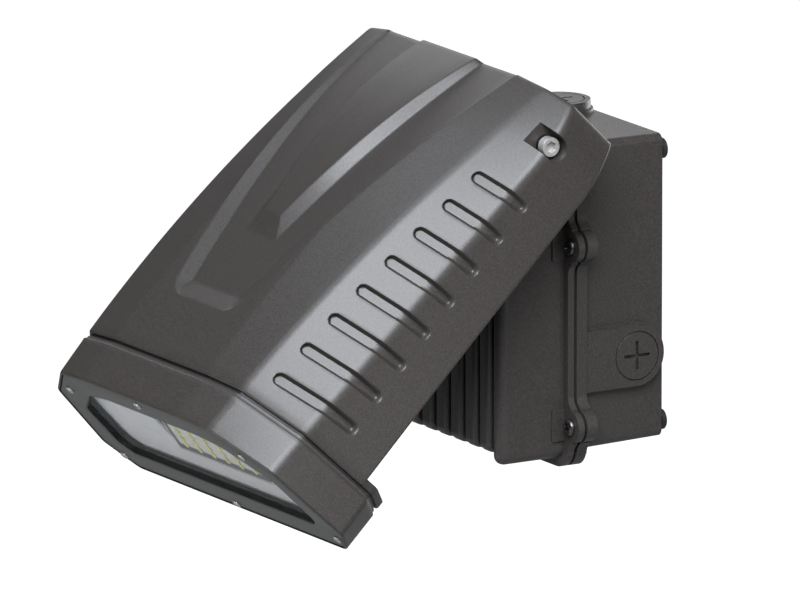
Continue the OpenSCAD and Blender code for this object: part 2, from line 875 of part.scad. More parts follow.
module front_cover() {
    inner_front = cover_y + rib_groove_d + box_wall;
    color("#3d3a38")
        difference() {
            union() {
                difference() {
                    union() {
                        cover_body();
                        both_sides()
                            knuckle();
                    }
                    cover_hollow(gasket_y, gasket_y - inner_front);
                    rib_grooves();
                    rib_feet();
                }
                difference() {
                    union() {
                        rounded(flange_w, flange_h, flange_corner_r, gasket_y, front_flange_t);
                        lugs(gasket_y, front_flange_t);
                    }
                    cover_hollow(gasket_y + cut, front_flange_t + 2 * cut);
                }
                both_sides()
                    for (z = [lug_top_z, lug_low_z]) {
                        translate([box_w / 2 - box_wall / 2, flange_y - lug_pad_y, z - lug_r])
                            cube([box_wall / 2 + lug_pad_proud, lug_pad_y + cut, 2 * lug_r]);
                    }
                for (x = [-1, 1]) {
                    for (z = [-1, 1]) {
                        pin_y(x * (driver_w / 2 - driver_foot / 2), driver_z + z * driver_h / 4,
                            inner_front + driver_boss_h, driver_boss_h + box_wall / 2, driver_boss_r);
                    }
                }
            }
            both_sides() {
                for (z = [lug_top_z, lug_low_z]) {
                    pin_y(lug_x, z, gasket_y + cut, front_flange_t + 2 * cut, cover_screw_r + seat_gap);
                }
                translate([0, -pivot_out, pivot_z])
                    bar(knuckle_out - pivot_len, knuckle_out + cut, pivot_r);
            }
            translate([0, cover_gland_y, cover_h / 2 - box_wall - cut])
                cylinder(h = box_wall + 2 * cut, r = gland_r);
            for (x = [-1, 1]) {
                for (z = [-1, 1]) {
                    pin_y(x * (driver_w / 2 - driver_foot / 2), driver_z + z * driver_h / 4,
                        inner_front + driver_boss_h + cut, driver_boss_h + cut, driver_screw_r);
                }
            }
        }
}

module cover_screws() {
    color("#8c8c8c")
        both_sides()
            for (z = [lug_top_z, lug_low_z]) {
                screw_y(lug_x, z, flange_y, cover_head_r, cover_head_h, cover_screw_r,
                    front_flange_t + box_gasket_t + rear_flange_t);
            }
}

module driver() {
    back = cover_y + rib_groove_d + box_wall + driver_boss_h;
    color("#c9ccd0")
        difference() {
            union() {
                translate([0, 0, driver_z])
                    rounded(driver_w - 2 * driver_foot, driver_h, driver_edge_r, back + driver_t, driver_t);
                translate([-driver_w / 2, back, driver_z - driver_h / 2])
                    cube([driver_w, driver_foot_t, driver_h]);
            }
            for (x = [-1, 1]) {
                for (z = [-1, 1]) {
                    pin_y(x * (driver_w / 2 - driver_foot / 2), driver_z + z * driver_h / 4,
                        back + driver_foot_t + cut, driver_foot_t + 2 * cut, driver_screw_r + seat_gap);
                }
            }
        }
}

module driver_screws() {
    back = cover_y + rib_groove_d + box_wall + driver_boss_h;
    color("#b8b8b8")
        for (x = [-1, 1]) {
            for (z = [-1, 1]) {
                pin_y(x * (driver_w / 2 - driver_foot / 2), driver_z + z * driver_h / 4,
                    back + driver_foot_t + driver_screw_r, driver_screw_r, driver_screw_r * 2);
                pin_y(x * (driver_w / 2 - driver_foot / 2), driver_z + z * driver_h / 4,
                    back + driver_foot_t, driver_foot_t + driver_boss_h, driver_screw_r);
            }
        }
}

// Gland body standing on the plane z = 0, with its threaded end below it
module gland(wall) {
    difference() {
        union() {
            translate([0, 0, -wall - gland_nut_t])
                cylinder(h = wall + gland_nut_t, r = gland_r);
            cylinder(h = gland_hex_h, r = gland_hex_r, $fn = 6);
            translate([0, 0, gland_hex_h])
                cylinder(h = gland_dome_h, r1 = gland_hex_r - gland_dome_in, r2 = gland_r);
        }
        translate([0, 0, -wall - gland_nut_t - cut])
            cylinder(h = wall + gland_nut_t + gland_hex_h + gland_dome_h + 2 * cut, r = gland_hole_r);
    }
}

module gland_nut(wall) {
    translate([0, 0, -wall - gland_nut_t])
        difference() {
            cylinder(h = gland_nut_t, r = gland_hex_r, $fn = 6);
            translate([0, 0, -cut])
                cylinder(h = gland_nut_t + 2 * cut, r = gland_r);
        }
}

module cover_gland() {
    color("#26282a")
        translate([0, cover_gland_y, cover_h / 2])
            gland(box_wall);
}

module cover_gland_nut() {
    color("#26282a")
        translate([0, cover_gland_y, cover_h / 2])
            gland_nut(box_wall);
}

// PIVOT
module pivot_screws() {
    head_x = pivot_seat_x + pivot_washer_t;
    color("#d5d5d5")
        both_sides()
            translate([0, -pivot_out, pivot_z]) {
                bar(knuckle_out - pivot_len, head_x + cut, pivot_r);
                difference() {
                    bar(head_x, head_x + pivot_head_h, pivot_head_r);
                    translate([head_x + pivot_head_h - socket_d, 0, 0])
                        rotate([0, 90, 0])
                            cylinder(h = socket_d + cut, r = socket_r * 2 / sqrt(3), $fn = 6);
                }
            }
}

module pivot_washers() {
    color("#b4b4b4")
        both_sides()
            translate([0, -pivot_out, pivot_z])
                difference() {
                    bar(pivot_seat_x, pivot_seat_x + pivot_washer_t, pivot_washer_r);
                    bar(pivot_seat_x - cut, pivot_seat_x + pivot_washer_t + cut, pivot_r);
                }
}

module friction_discs() {
    color("#8f8f8f")
        both_sides()
            translate([0, -pivot_out, pivot_z])
                difference() {
                    bar(knuckle_out, knuckle_out + disc_t, knuckle_r);
                    bar(knuckle_out - cut, knuckle_out + disc_t + cut, pivot_r);
                }
}

// HEAD
// Half outline of the hood's outside at one station, from the tongue to the foot of the cheek
function hood_half(s) = let (
        crease = [crease_hw(s), crease_n(s)],
        ridge = [ridge_x(s), ridge_n(s)],
        foot_n = skirt_n(s),
        foot = [side_x(s, foot_n), foot_n])
    concat(
        [[tongue_hw(s), tongue_n(s)], [tongue_base_hw(s), floor_n(s)], [floor_hw(s), floor_n(s)],
            [rim_hw(s), crown_n(s)], [flat_hw(s), crown_n(s)], crease],
        soft_corner(crease, ridge, foot, ridge_ease_r),
        [[side_x(s, foot_n + skirt_ease_r), foot_n + skirt_ease_r], [foot.x - skirt_ease_r, foot_n]]);

// Half outline behind the hood's rear end, which is cut there: the relief's points lie level with the crown
function level_half() = let (half = hood_half(0))
    [for (i = [0:len(half) - 1]) i < relief_points ? [half[i].x, crown_rear] : half[i]];

// Half outline a given depth under the hood's surface, open downwards to a flat floor
function under_half(s, d, low_n) = [
    [flat_hw(s), floor_n(s) - d],
    [crease_hw(s), crease_n(s) - facet_drop_share * d],
    [ridge_x(s) - d, ridge_n(s) - ridge_drop_share * d],
    [side_x(s, low_n) - d, low_n]];

// Outline of the bulkhead, the ring gasket and the front ring
function low_half(s) = let (
        crease = [crease_hw(s), crease_n(s)],
        ridge = [ridge_hw, ridge_n(s)],
        side = [side_x(s, low_side_z), low_side_z])
    concat(
        [[facet_hw, crown_n(s)], crease],
        soft_corner(crease, ridge, side, ridge_ease_r),
        [side],
        [for (f = low_corner_shares)
            [between(side.x, low_bottom_hw, f.x), between(low_side_z, low_bottom_z, f.y)]]);

function low_outline(s) = mirrored(low_half(s));
function window_outline() = mirrored([for (f = window_shares)
    [f.x * window_hw, between(window_low, window_top, f.y)]]);
function reflector_outline() = mirrored([for (f = reflector_shares)
    [f.x * reflector_hw, between(reflector_low, reflector_top, f.y)]]);

// Stations of the hood's sections, each row of them in steps from one place to the next
function steps(a, b, count) = [for (k = [0:count - 1]) a + (b - a) * k / count];
function parts(a, b, shares) = [for (f = shares) a + (b - a) * f];
hood_stations = concat(
    steps(edge_ease_r, skirt_corner_y, 5), steps(skirt_corner_y, tongue_len, 7), [tongue_len],
    steps(tongue_end, recess_floor_end, 3), parts(recess_floor_end, recess_end, recess_end_shares),
    steps(recess_end, bulkhead_y, 2), [bulkhead_y + bulkhead_t / 2]);
skin_stations = concat(
    steps(2 * edge_ease_r, skirt_corner_y, 3), steps(skirt_corner_y, bulkhead_y, 7),
    [bulkhead_y + bulkhead_t / 4]);

// Solid a given depth under the hood's skin
module under_skin() {
    loft([for (s = skin_stations)
        ring_at(mirrored(under_half(s, slot_depth, skirt_n(s) + skirt_ease_r)), s)]);
}

module side_slots() {
    both_sides()
        for (s = [for (k = [0:slot_count - 1]) max(hood_len - slot_front - k * slot_pitch, 2 * pivot_y)]) {
            t = slot_upper_in / (ridge_hw - crease_hw(s));
            upper = [crease_hw(s) + slot_upper_in, between(crease_n(s), ridge_n(s), t)];
            lower = [side_x(s, slot_lower_z), slot_lower_z];
            along = [sin(slot_dir), -cos(slot_dir)];
            len = (lower - upper) * along - slot_w;
            mid = (upper + lower) / 2;
            translate([mid.x, -s, mid.y])
                rotate([0, 90 - slot_dir, 0])
                    rotate([0, 0, slot_lean])
                        linear_extrude(height = 2 * ridge_ease_r + 6 * slot_depth, center = true) {
                            square([len, slot_w], center = true);
                            for (e = [-1, 1]) {
                                translate([e * len / 2, 0])
                                    circle(r = slot_w / 2);
                            }
                        }
        }
}

// Upright slab about the pivot axis from x0 outwards, rounded below and open above
module pivot_slab(x0, x1, r, up) {
    translate([0, -pivot_y, -pivot_drop]) {
        bar(x0, x1, r);
        translate([x0, -r, 0])
            cube([x1 - x0, 2 * r, up]);
    }
}

module head_hood() {
    cavity_stations = [for (s = skin_stations) min(s, bulkhead_y)];
    color("#4b494a")
        on_head()
            difference() {
                union() {
                    difference() {
                        loft(concat([ring_at(inset(mirrored(level_half()), 2 * edge_ease_r), -edge_ease_r)],
                            [for (s = hood_stations) ring_at(mirrored(hood_half(s)), s)]));
                        translate([-2 * ridge_hw, 0, cavity_floor_z])
                            cube([4 * ridge_hw, 2 * edge_ease_r, -2 * cavity_floor_z]);
                        side_slots();
                    }
                    under_skin();
                    plate(inset(low_outline(hood_len), -flange_proud), bulkhead_y, hood_len);
                }
                difference() {
                    loft(concat([ring_at(mirrored(under_half(0, hood_wall, cavity_floor_z)), -cut)],
                        [for (s = cavity_stations)
                            ring_at(mirrored(under_half(s, hood_wall, cavity_floor_z)), s)]));
                    both_sides()
                        pivot_slab(boss_face_x, ridge_hw, boss_r, 2 * pivot_drop);
                }
                both_sides() {
                    pivot_slab(pivot_seat_x, ridge_hw + cut, pocket_r, 2 * pivot_drop);
                    translate([0, -pivot_y, -pivot_drop])
                        bar(boss_face_x - cut, pivot_seat_x + cut, pivot_r + pivot_play);
                    for (p = ring_places) {
                        post(p.x, p.y, bulkhead_y - cut, hood_len + cut, ring_screw_r);
                    }
                    for (n = [sink_screw_low, sink_screw_top]) {
                        post(sink_screw_x, n, bulkhead_y - cut, hood_len + cut, sink_screw_r);
                    }
                }
                post(head_gland_x, head_gland_z, bulkhead_y - cut, hood_len + cut, gland_r);
            }
}

module ring_gasket() {
    color("#101010")
        on_head()
            difference() {
                plate(inset(low_outline(hood_len), groove_in), hood_len, ring_rear_y);
                plate(inset(window_outline(), -gasket_grow), hood_len - cut, ring_rear_y + cut);
                both_sides()
                    for (p = ring_places) {
                        post(p.x, p.y, hood_len - cut, ring_rear_y + cut, ring_screw_r);
                    }
            }
}

module front_ring() {
    color("#3f3e3f")
        on_head()
            difference() {
                loft([
                    ring_at(inset(low_outline(ring_rear_y), ring_lip), ring_rear_y),
                    ring_at(inset(low_outline(ring_rear_y), ring_lip), ring_rear_y + ring_lip_len),
                    ring_at(low_outline(ring_rear_y + ring_lip_len), ring_rear_y + ring_lip_len + seat_gap),
                    ring_at(low_outline(head_len - ring_ease_r), head_len - ring_ease_r),
                    ring_at(inset(low_outline(head_len), ring_ease_r / 2), head_len)]);
                plate(inset(low_outline(head_len), ring_rim), frame_back_y, head_len + cut);
                plate(inset(window_outline(), -glass_grow - seat_gap), reflector_back_y, head_len);
                plate(inset(window_outline(), -chamber_grow), ring_rear_y - cut, head_len);
                for (p = frame_places) {
                    post(p.x, p.y, frame_back_y - frame_screw_len, frame_back_y + cut, frame_screw_r);
                }
                both_sides()
                    for (p = ring_places) {
                        post(p.x, p.y, ring_rear_y - cut, bulkhead_y + ring_screw_len, ring_screw_r);
                    }
            }
}

module ring_screws() {
    color("#9a9a9a")
        on_head()
            both_sides()
                for (p = ring_places) {
                    post(p.x, p.y, bulkhead_y - ring_head_h, bulkhead_y, ring_head_r);
                    post(p.x, p.y, bulkhead_y - ring_head_h, bulkhead_y + ring_screw_len, ring_screw_r);
                }
}

module heat_sink() {
    color("#8f9194")
        on_head()
            difference() {
                union() {
                    translate([-sink_w / 2, -bulkhead_y, sink_low])
                        cube([sink_w, sink_base_t, sink_top - sink_low]);
                    for (k = [0:sink_fin_count - 1]) {
                        fin_x = (k - (sink_fin_count - 1) / 2) * sink_fin_pitch - sink_fin_t / 2;
                        translate([fin_x, -bulkhead_y, sink_low])
                            cube([sink_fin_t, sink_base_t + sink_fin_h, sink_top - sink_low]);
                    }
                }
                both_sides()
                    for (n = [sink_screw_low, sink_screw_top]) {
                        post(sink_screw_x, n, bulkhead_y - sink_base_t - cut, bulkhead_y + cut,
                            sink_screw_r);
                    }
            }
}

module heat_sink_screws() {
    seat = bulkhead_y - sink_base_t;
    color("#9a9a9a")
        on_head()
            both_sides()
                for (n = [sink_screw_low, sink_screw_top]) {
                    post(sink_screw_x, n, seat - sink_head_h, seat, sink_head_r);
                    post(sink_screw_x, n, seat - sink_head_h, seat + sink_screw_len, sink_screw_r);
                }
}

// Places a child on the rear face of the bulkhead, its Z pointing out of the hood's hollow
module at_head_gland() {
    translate([head_gland_x, -bulkhead_y, head_gland_z])
        rotate([-90, 0, 0])
            children();
}

module head_gland() {
    color("#26282a")
        on_head()
            at_head_gland()
                gland(bulkhead_t);
}

module head_gland_nut() {
    color("#26282a")
        on_head()
            at_head_gland()
                gland_nut(bulkhead_t);
}

// Moves a child to the board: its front face is y = 0 and its foot z = 0
module on_board() {
    translate([0, -board_foot_y, board_foot_z])
        rotate([-board_tilt, 0, 0])
            children();
}

module lamp_block() {
    reach = board_foot_y - hood_len;
    color("#9b9da0")
        on_head()
            difference() {
                translate([-block_w / 2, -board_foot_y, block_low])
                    cube([block_w, reach, block_top - block_low]);
                on_board()
                    translate([-block_w, -reach, -board_h])
                        cube([2 * block_w, reach + board_t, 3 * board_h]);
                both_sides() {
                    for (n = [sink_screw_low, sink_screw_top]) {
                        post(sink_screw_x, n, hood_len - cut, bulkhead_y - sink_base_t + sink_screw_len,
                            sink_screw_r);
                    }
                    on_board()
                        pin_y(board_w / 2 - 2 * board_screw_in, board_h - 2 * board_screw_in,
                            board_t + board_screw_len, board_t + board_screw_len, board_screw_r);
                }
            }
}

module led_board() {
    color("#d9d9d4")
        on_head()
            on_board()
                difference() {
                    translate([-board_w / 2, 0, 0])
                        cube([board_w, board_t, board_h]);
                    both_sides()
                        pin_y(board_w / 2 - 2 * board_screw_in, board_h - 2 * board_screw_in, board_t + cut,
                            board_t + 2 * cut, board_screw_r);
                }
}

module board_screws() {
    color("#b8b8b8")
        on_head()
            on_board()
                both_sides() {
                    pin_y(board_w / 2 - 2 * board_screw_in, board_h - 2 * board_screw_in,
                        board_t + board_screw_len, board_t + board_screw_len, board_screw_r);
                    pin_y(board_w / 2 - 2 * board_screw_in, board_h - 2 * board_screw_in, 0, board_head_h,
                        board_head_r);
                }
}

module leds() {
    color("#e6dc8c")
        on_head()
            on_board()
                for (i = [0:led_columns - 1]) {
                    for (j = [0:led_rows - 1]) {
                        translate([(i - (led_columns - 1) / 2) * led_pitch_x - led_size / 2, -led_t,
                            led_foot + j * led_pitch_z - led_size / 2])
                            cube([led_size, led_t, led_size]);
                    }
                }
}

module reflector() {
    foot = reflector_outline();
    brim = window_outline();
    front_s = glass_back_y;
    slot_w = board_w + 2 * board_slot_gap;
    color("#d4d4d4")
        on_head()
            difference() {
                union() {
                    plate(inset(brim, -glass_grow), reflector_back_y, front_s);
                    loft([
                        ring_at(inset(foot, -reflector_t), reflector_base_y - reflector_t),
                        ring_at(inset(brim, -reflector_t), reflector_back_y)]);
                }
                loft([
                    ring_at(foot, reflector_base_y),
                    ring_at(brim, front_s),
                    ring_at(brim, front_s + cut)]);
                on_board()
                    translate([-slot_w / 2, -board_h, -board_slot_gap])
                        cube([slot_w, 2 * board_h, board_h + 2 * board_slot_gap]);
            }
}

module lens_gasket() {
    color("#111111")
        on_head()
            difference() {
                plate(inset(window_outline(), -glass_grow), glass_back_y + glass_t, frame_back_y);
                plate(window_outline(), glass_back_y, head_len);
            }
}

module lens_glass() {
    color("#c8d0d4", 0.35)
        on_head()
            plate(inset(window_outline(), -glass_grow), glass_back_y, glass_back_y + glass_t);
}

module lens_frame() {
    color("#565653")
        on_head()
            difference() {
                plate(inset(low_outline(head_len), frame_in), frame_back_y, frame_back_y + frame_t);
                plate(window_outline(), frame_back_y - cut, head_len + cut);
                for (p = frame_places) {
                    post(p.x, p.y, frame_back_y - cut, frame_back_y + frame_t + cut, frame_screw_r);
                }
            }
}

module frame_screws() {
    face = frame_back_y + frame_t;
    color("#d8d8d8")
        on_head()
            for (p = frame_places) {
                post(p.x, p.y, face, face + frame_head_h, frame_head_r);
                post(p.x, p.y, frame_back_y - frame_screw_len, face + frame_head_h, frame_screw_r);
            }
}

back_box();
wall_pads();
conduit_plugs();
conduit_seals();
terminal_block();
terminal_screws();
ground_screw();
box_gasket();
front_cover();
cover_screws();
driver();
driver_screws();
cover_gland();
cover_gland_nut();
pivot_screws();
pivot_washers();
friction_discs();
head_hood();
ring_gasket();
front_ring();
ring_screws();
heat_sink();
heat_sink_screws();
head_gland();
head_gland_nut();
lamp_block();
led_board();
board_screws();
leds();
reflector();
lens_gasket();
lens_glass();
lens_frame();
frame_screws();
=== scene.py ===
"""Looks of the wall pack light: its castings with eased edges, its lamp window, its screws and all finishes."""

import json
from math import cos, pi, radians, sin

import bmesh
import bpy
import numpy as np
from mathutils import Matrix, Vector


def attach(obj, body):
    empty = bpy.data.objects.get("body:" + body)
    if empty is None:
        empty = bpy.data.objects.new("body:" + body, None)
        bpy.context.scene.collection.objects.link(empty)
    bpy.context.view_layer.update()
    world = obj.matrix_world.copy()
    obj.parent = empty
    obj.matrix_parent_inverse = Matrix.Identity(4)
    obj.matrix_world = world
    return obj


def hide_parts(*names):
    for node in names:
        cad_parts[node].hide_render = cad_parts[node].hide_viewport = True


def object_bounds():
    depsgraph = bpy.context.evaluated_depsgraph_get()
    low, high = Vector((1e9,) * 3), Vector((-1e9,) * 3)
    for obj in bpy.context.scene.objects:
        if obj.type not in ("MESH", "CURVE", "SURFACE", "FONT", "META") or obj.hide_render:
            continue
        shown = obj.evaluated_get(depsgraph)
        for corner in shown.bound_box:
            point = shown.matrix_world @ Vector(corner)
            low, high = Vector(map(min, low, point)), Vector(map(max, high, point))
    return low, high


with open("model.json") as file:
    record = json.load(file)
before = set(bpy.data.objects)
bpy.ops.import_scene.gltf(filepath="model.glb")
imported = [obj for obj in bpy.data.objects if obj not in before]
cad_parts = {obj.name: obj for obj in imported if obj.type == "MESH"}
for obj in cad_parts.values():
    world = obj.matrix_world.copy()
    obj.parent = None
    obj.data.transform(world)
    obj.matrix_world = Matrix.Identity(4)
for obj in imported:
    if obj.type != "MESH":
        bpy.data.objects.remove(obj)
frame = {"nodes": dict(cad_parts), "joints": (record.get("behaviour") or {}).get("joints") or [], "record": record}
cad_low, cad_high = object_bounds()
NODES = frame["nodes"]
BODY_OF = {n: b for b, names in frame["record"]["behaviour"]["bodies"].items() for n in names}
SLOT_OF = {s["node"]: s["material_slot"] for s in frame["record"]["subparts"]}

# Sizes are in millimetres, in the head's own coordinates: x across, s along it from its rear edge, n out of its
# top. HW is a half width, and a bow is the power by which a line bends.
MM = 0.001
PIVOT = np.array(frame["joints"][0]["pos_m"]) / MM
PIVOT_S = 22.5
PIVOT_DROP = 12.9
TILT = radians(45)
HEAD_LEN = 232.6
RING_LEN = 23.6
RING_GASKET = 1.3
HOOD_LEN = HEAD_LEN - RING_LEN - RING_GASKET


# Camera: a long lens, 59 degrees to the right of the front and 13 above the horizon, as in the photograph
LENS, SENSOR, CLIP_NEAR, CLIP_FAR = 864, 36, 0.1, 100
CAMERA_PLACE = (7.7054, -4.7384, 2.0674)
CAMERA_RISE, CAMERA_ROUND = 13, 59


def place_camera():
    data = bpy.data.cameras.new("camera")
    data.lens = LENS
    data.sensor_width = SENSOR
    data.clip_start = CLIP_NEAR
    data.clip_end = CLIP_FAR
    camera = bpy.data.objects.new("camera", data)
    camera.location = CAMERA_PLACE
    camera.rotation_euler = (radians(90 - CAMERA_RISE), 0, radians(CAMERA_ROUND))
    bpy.context.scene.collection.objects.link(camera)
    bpy.context.scene.camera = camera


place_camera()


# Materials
def srgb(code):
    """Linear colour of an sRGB hex value."""
    parts = [int(code[i:i + 2], 16) / 255 for i in (1, 3, 5)]
    return tuple(c / 12.92 if c <= 0.04045 else ((c + 0.055) / 1.055) ** 2.4 for c in parts) + (1,)


def add(tree, kind, links=(), **settings):
    """One node with its settings; links gives an input's name or index, and its value or the socket before it."""
    node = tree.nodes.new(kind)
    for name, value in settings.items():
        setattr(node, name, value)
    for key, value in dict(links).items():
        if isinstance(value, bpy.types.NodeSocket):
            tree.links.new(value, node.inputs[key])
        else:
            node.inputs[key].default_value = value
    return node


def surface(name, **sockets):
    """A material with one principled shader, and the tree and shader to build on."""
    material = bpy.data.materials.new(name)
    material.use_nodes = True
    tree = material.node_tree
    shader = tree.nodes["Principled BSDF"]
    for key, value in sockets.items():
        shader.inputs[key.replace("_", " ")].default_value = value
    return material, tree, shader


def grain(tree, size_mm, detail=2.0):
    """Noise on object coordinates with grains of a real size."""
    place = add(tree, "ShaderNodeTexCoord")
    links = {"Vector": place.outputs["Object"], "Scale": 1 / (size_mm * MM), "Detail": detail}
    return add(tree, "ShaderNodeTexNoise", links).outputs["Fac"]


def tint(tree, shader, noise, levels, dark, light):
    """Colours a surface from its dark to its light tone as a noise goes from one level to the other."""
    share = add(tree, "ShaderNodeMapRange", {"Value": noise, "From Min": levels[0], "From Max": levels[1]})
    mix = add(tree, "ShaderNodeMix", {"Factor": share.outputs["Result"]}, data_type="RGBA")
    ends = {s.name: s for s in mix.inputs if s.type == "RGBA"}
    ends["A"].default_value = srgb(dark)
    ends["B"].default_value = srgb(light)
    tree.links.new(next(s for s in mix.outputs if s.type == "RGBA"), shader.inputs["Base Color"])


def bump(tree, shader, height, strength, depth_mm):
    node = add(tree, "ShaderNodeBump", {"Height": height, "Strength": strength, "Distance": depth_mm * MM})
    tree.links.new(node.outputs["Normal"], shader.inputs["Normal"])


# Noise levels of the dark and the light tone
COAT_LEVELS, TONE_LEVELS, HAZE_LEVELS = (0.35, 0.65), (0.3, 0.7), (0.2, 0.8)
# The coat's texture is about half a millimetre; it is drawn a little coarser, because finer doesn't show
COAT_GRAIN, COAT_DETAIL, COAT_BUMP, COAT_DEPTH = 0.9, 3, 0.35, 0.12
METAL_DETAIL, METAL_BUMP, MOULD_BUMP, FINE_DEPTH = 4, 0.1, 0.15, 0.05
HAZE_SIZE = 30


def powder_coat(name, dark, light, roughness):
    """Fine-texture polyester powder coat on die-cast aluminium: a matt skin that breaks up every highlight."""
    material, tree, shader = surface(name, Roughness=roughness)
    grit = grain(tree, COAT_GRAIN, COAT_DETAIL)
    tint(tree, shader, grit, COAT_LEVELS, dark, light)
    bump(tree, shader, grit, COAT_BUMP, COAT_DEPTH)
    return material


def metal(name, dark, light, roughness, streak_mm, metallic=1.0):
    """Plated or drawn metal with faint tone changes; a satin passivated surface is less metallic."""
    material, tree, shader = surface(name, Metallic=metallic, Roughness=roughness)
    tone = grain(tree, streak_mm, METAL_DETAIL)
    tint(tree, shader, tone, TONE_LEVELS, dark, light)
    bump(tree, shader, tone, METAL_BUMP, FINE_DEPTH)
    return material


def moulded(name, dark, light, roughness, grain_mm):
    """Moulded plastic or rubber: a fine even grain and hardly any tone change."""
    material, tree, shader = surface(name, Roughness=roughness)
    tone = grain(tree, grain_mm)
    tint(tree, shader, tone, TONE_LEVELS, dark, light)
    bump(tree, shader, tone, MOULD_BUMP, FINE_DEPTH)
    return material


def toughened_glass():
    """Clear toughened glass, a little green in its edge, thin enough that light passes it straight."""
    material, tree, shader = surface("toughened_glass", Roughness=0.04, Alpha=0.12)
    tint(tree, shader, grain(tree, HAZE_SIZE), HAZE_LEVELS, "#c8cfcc", "#d6dcda")
    return material


# Warm grey-black skin of the castings, with soft broad highlights
COAT = powder_coat("powder_coat_graphite", "#272422", "#35312e", 0.44)
# The window frame's skin, a lighter neutral grey
FRAME_COAT = powder_coat("powder_coat_window_frame", "#434340", "#4e4e4a", 0.45)
# Deep black with no sheen, for gaskets and seals
RUBBER = moulded("silicone_rubber_black", "#0c0c0c", "#121212", 0.6, 1.0)
# Black with a dull sheen, for cable glands
POLYAMIDE = moulded("glass_filled_polyamide_black", "#191919", "#222222", 0.45, 0.8)
# Milky cream, for the terminal block
NATURAL = moulded("polyamide_natural", "#c9c4b4", "#d6d1c2", 0.4, 0.8)
# Cool silver with dull patches, for the inner screws
ZINC = metal("zinc_plated_steel", "#9b9c98", "#b5b5b0", 0.35, 3)
# Pale satin silver, for the pivot and frame screws
STAINLESS = metal("stainless_steel", "#a5a4a1", "#b8b7b4", 0.38, 2, 0.6)
# Smoky silver, for the cover screws
DARK_ZINC = metal("dark_zinc_plated_steel", "#4b4a49", "#626160", 0.38, 2)
# Near-black metal, for the pivot washers
BLACKENED = metal("blackened_steel_washer", "#2a2928", "#353433", 0.45, 2)
# Bright green, for the ground screw
GREEN = moulded("green_chromate_screw", "#2a6e40", "#338049", 0.35, 1.0)
# Bare grey metal with faint streaks, for the heat sink and the lamp block
ALUMINIUM = metal("mill_finish_aluminium", "#a9abad", "#bcbec0", 0.4, 4)
# Brighter drawn metal, for the driver's case
CASE = metal("drawn_aluminium_case", "#b3b5b8", "#c6c8ca", 0.38, 5)
# White lacquer of the lamp board
SOLDER_MASK = moulded("white_solder_mask", "#cfcfca", "#d9d9d4", 0.35, 1.5)
# Even white plastic of the tray around the board
REFLECTOR = moulded("white_moulded_polycarbonate", "#d8d7da", "#dfdee1", 0.4, 1.5)
# Pale yellow gel of the unlit lamps
PHOSPHOR = moulded("yellow_phosphor", "#d8cd7e", "#e8de92", 0.4, 0.6)
# Dark grey band around the lamps, along the board's edges
BOARD_BAND_GREY = moulded("dark_grey_board_band", "#3c3e40", "#48494b", 0.5, 1.0)
GLASS = toughened_glass()

FINISH = {
    "housing_paint": COAT, "frame_paint": FRAME_COAT, "rubber_black": RUBBER, "terminal_plastic": NATURAL,
    "zinc_steel": ZINC, "green_steel": GREEN, "screw_steel": STAINLESS, "driver_case": CASE,
    "gland_plastic": POLYAMIDE, "bare_aluminium": ALUMINIUM, "board_white": SOLDER_MASK,
    "led_phosphor": PHOSPHOR, "reflector_white": REFLECTOR, "clear_glass": GLASS}


def dress(piece, material):
    piece.data.materials.clear()
    piece.data.materials.append(material)


for name, node in NODES.items():
    dress(node, FINISH[SLOT_OF[name]])
dress(NODES["pivot_washers"], BLACKENED)

# Mesh making. Shading breaks where faces meet at more than these angles, in degrees.
FORM_ANGLE, SMALL_ANGLE = 38, 40
MERGE, TINY, LEAST_ROOM = 1e-7, 1e-9, 1e-6
MITRE_LEAST = 0.2
EASE_SHARE = 0.45


def new_piece(name, mesh):
    piece = bpy.data.objects.new(name, mesh)
    bpy.context.scene.collection.objects.link(piece)
    return piece


def shade(mesh, sharp=FORM_ANGLE):
    """Smooth shading that breaks only at real edges."""
    mesh.shade_smooth()
    mesh.set_sharp_from_angle(angle=radians(sharp))


def finish_piece(piece, node, material):
    """Puts a made piece in the place of the CAD node that it stands for."""
    dress(piece, material)
    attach(piece, BODY_OF[node])
    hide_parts(node)


def applied(piece):
    """Bakes a piece's modifiers into its mesh."""
    graph = bpy.context.evaluated_depsgraph_get()
    mesh = bpy.data.meshes.new_from_object(piece.evaluated_get(graph))
    piece.modifiers.clear()
    piece.data = mesh


def cut(piece, tool, operation="DIFFERENCE"):
    """Takes a tool out of a piece, or joins it to it, and removes the tool."""
    step = piece.modifiers.new("cut", "BOOLEAN")
    step.operation = operation
    step.solver = "MANIFOLD"
    step.object = tool
    applied(piece)
    bpy.data.objects.remove(tool)
    return piece


def outward(mesh):
    """Merges doubles and turns all faces of a closed mesh outwards."""
    shell = bmesh.new()
    shell.from_mesh(mesh)
    bmesh.ops.remove_doubles(shell, verts=shell.verts, dist=MERGE)
    wide = [f for f in shell.faces if len(f.verts) > 4]
    bmesh.ops.triangulate(shell, faces=wide, ngon_method="EAR_CLIP")
    bmesh.ops.recalc_face_normals(shell, faces=shell.faces)
    shell.to_mesh(mesh)
    shell.free()


def loft(name, rings):
    """Closed solid through rings of equal counts of points, given as metres in the row frame."""
    rings = np.asarray(rings)
    count, size = rings.shape[:2]
    quads = []
    for j in range(count - 1):
        a = j * size
        quads += [(a + i, a + (i + 1) % size, a + size + (i + 1) % size, a + size + i) for i in range(size)]
    caps = [tuple(range(size - 1, -1, -1)), tuple(range((count - 1) * size, count * size))]
    mesh = bpy.data.meshes.new(name)
    mesh.from_pydata(rings.reshape(-1, 3), [], quads + caps)
    outward(mesh)
    return new_piece(name, mesh)


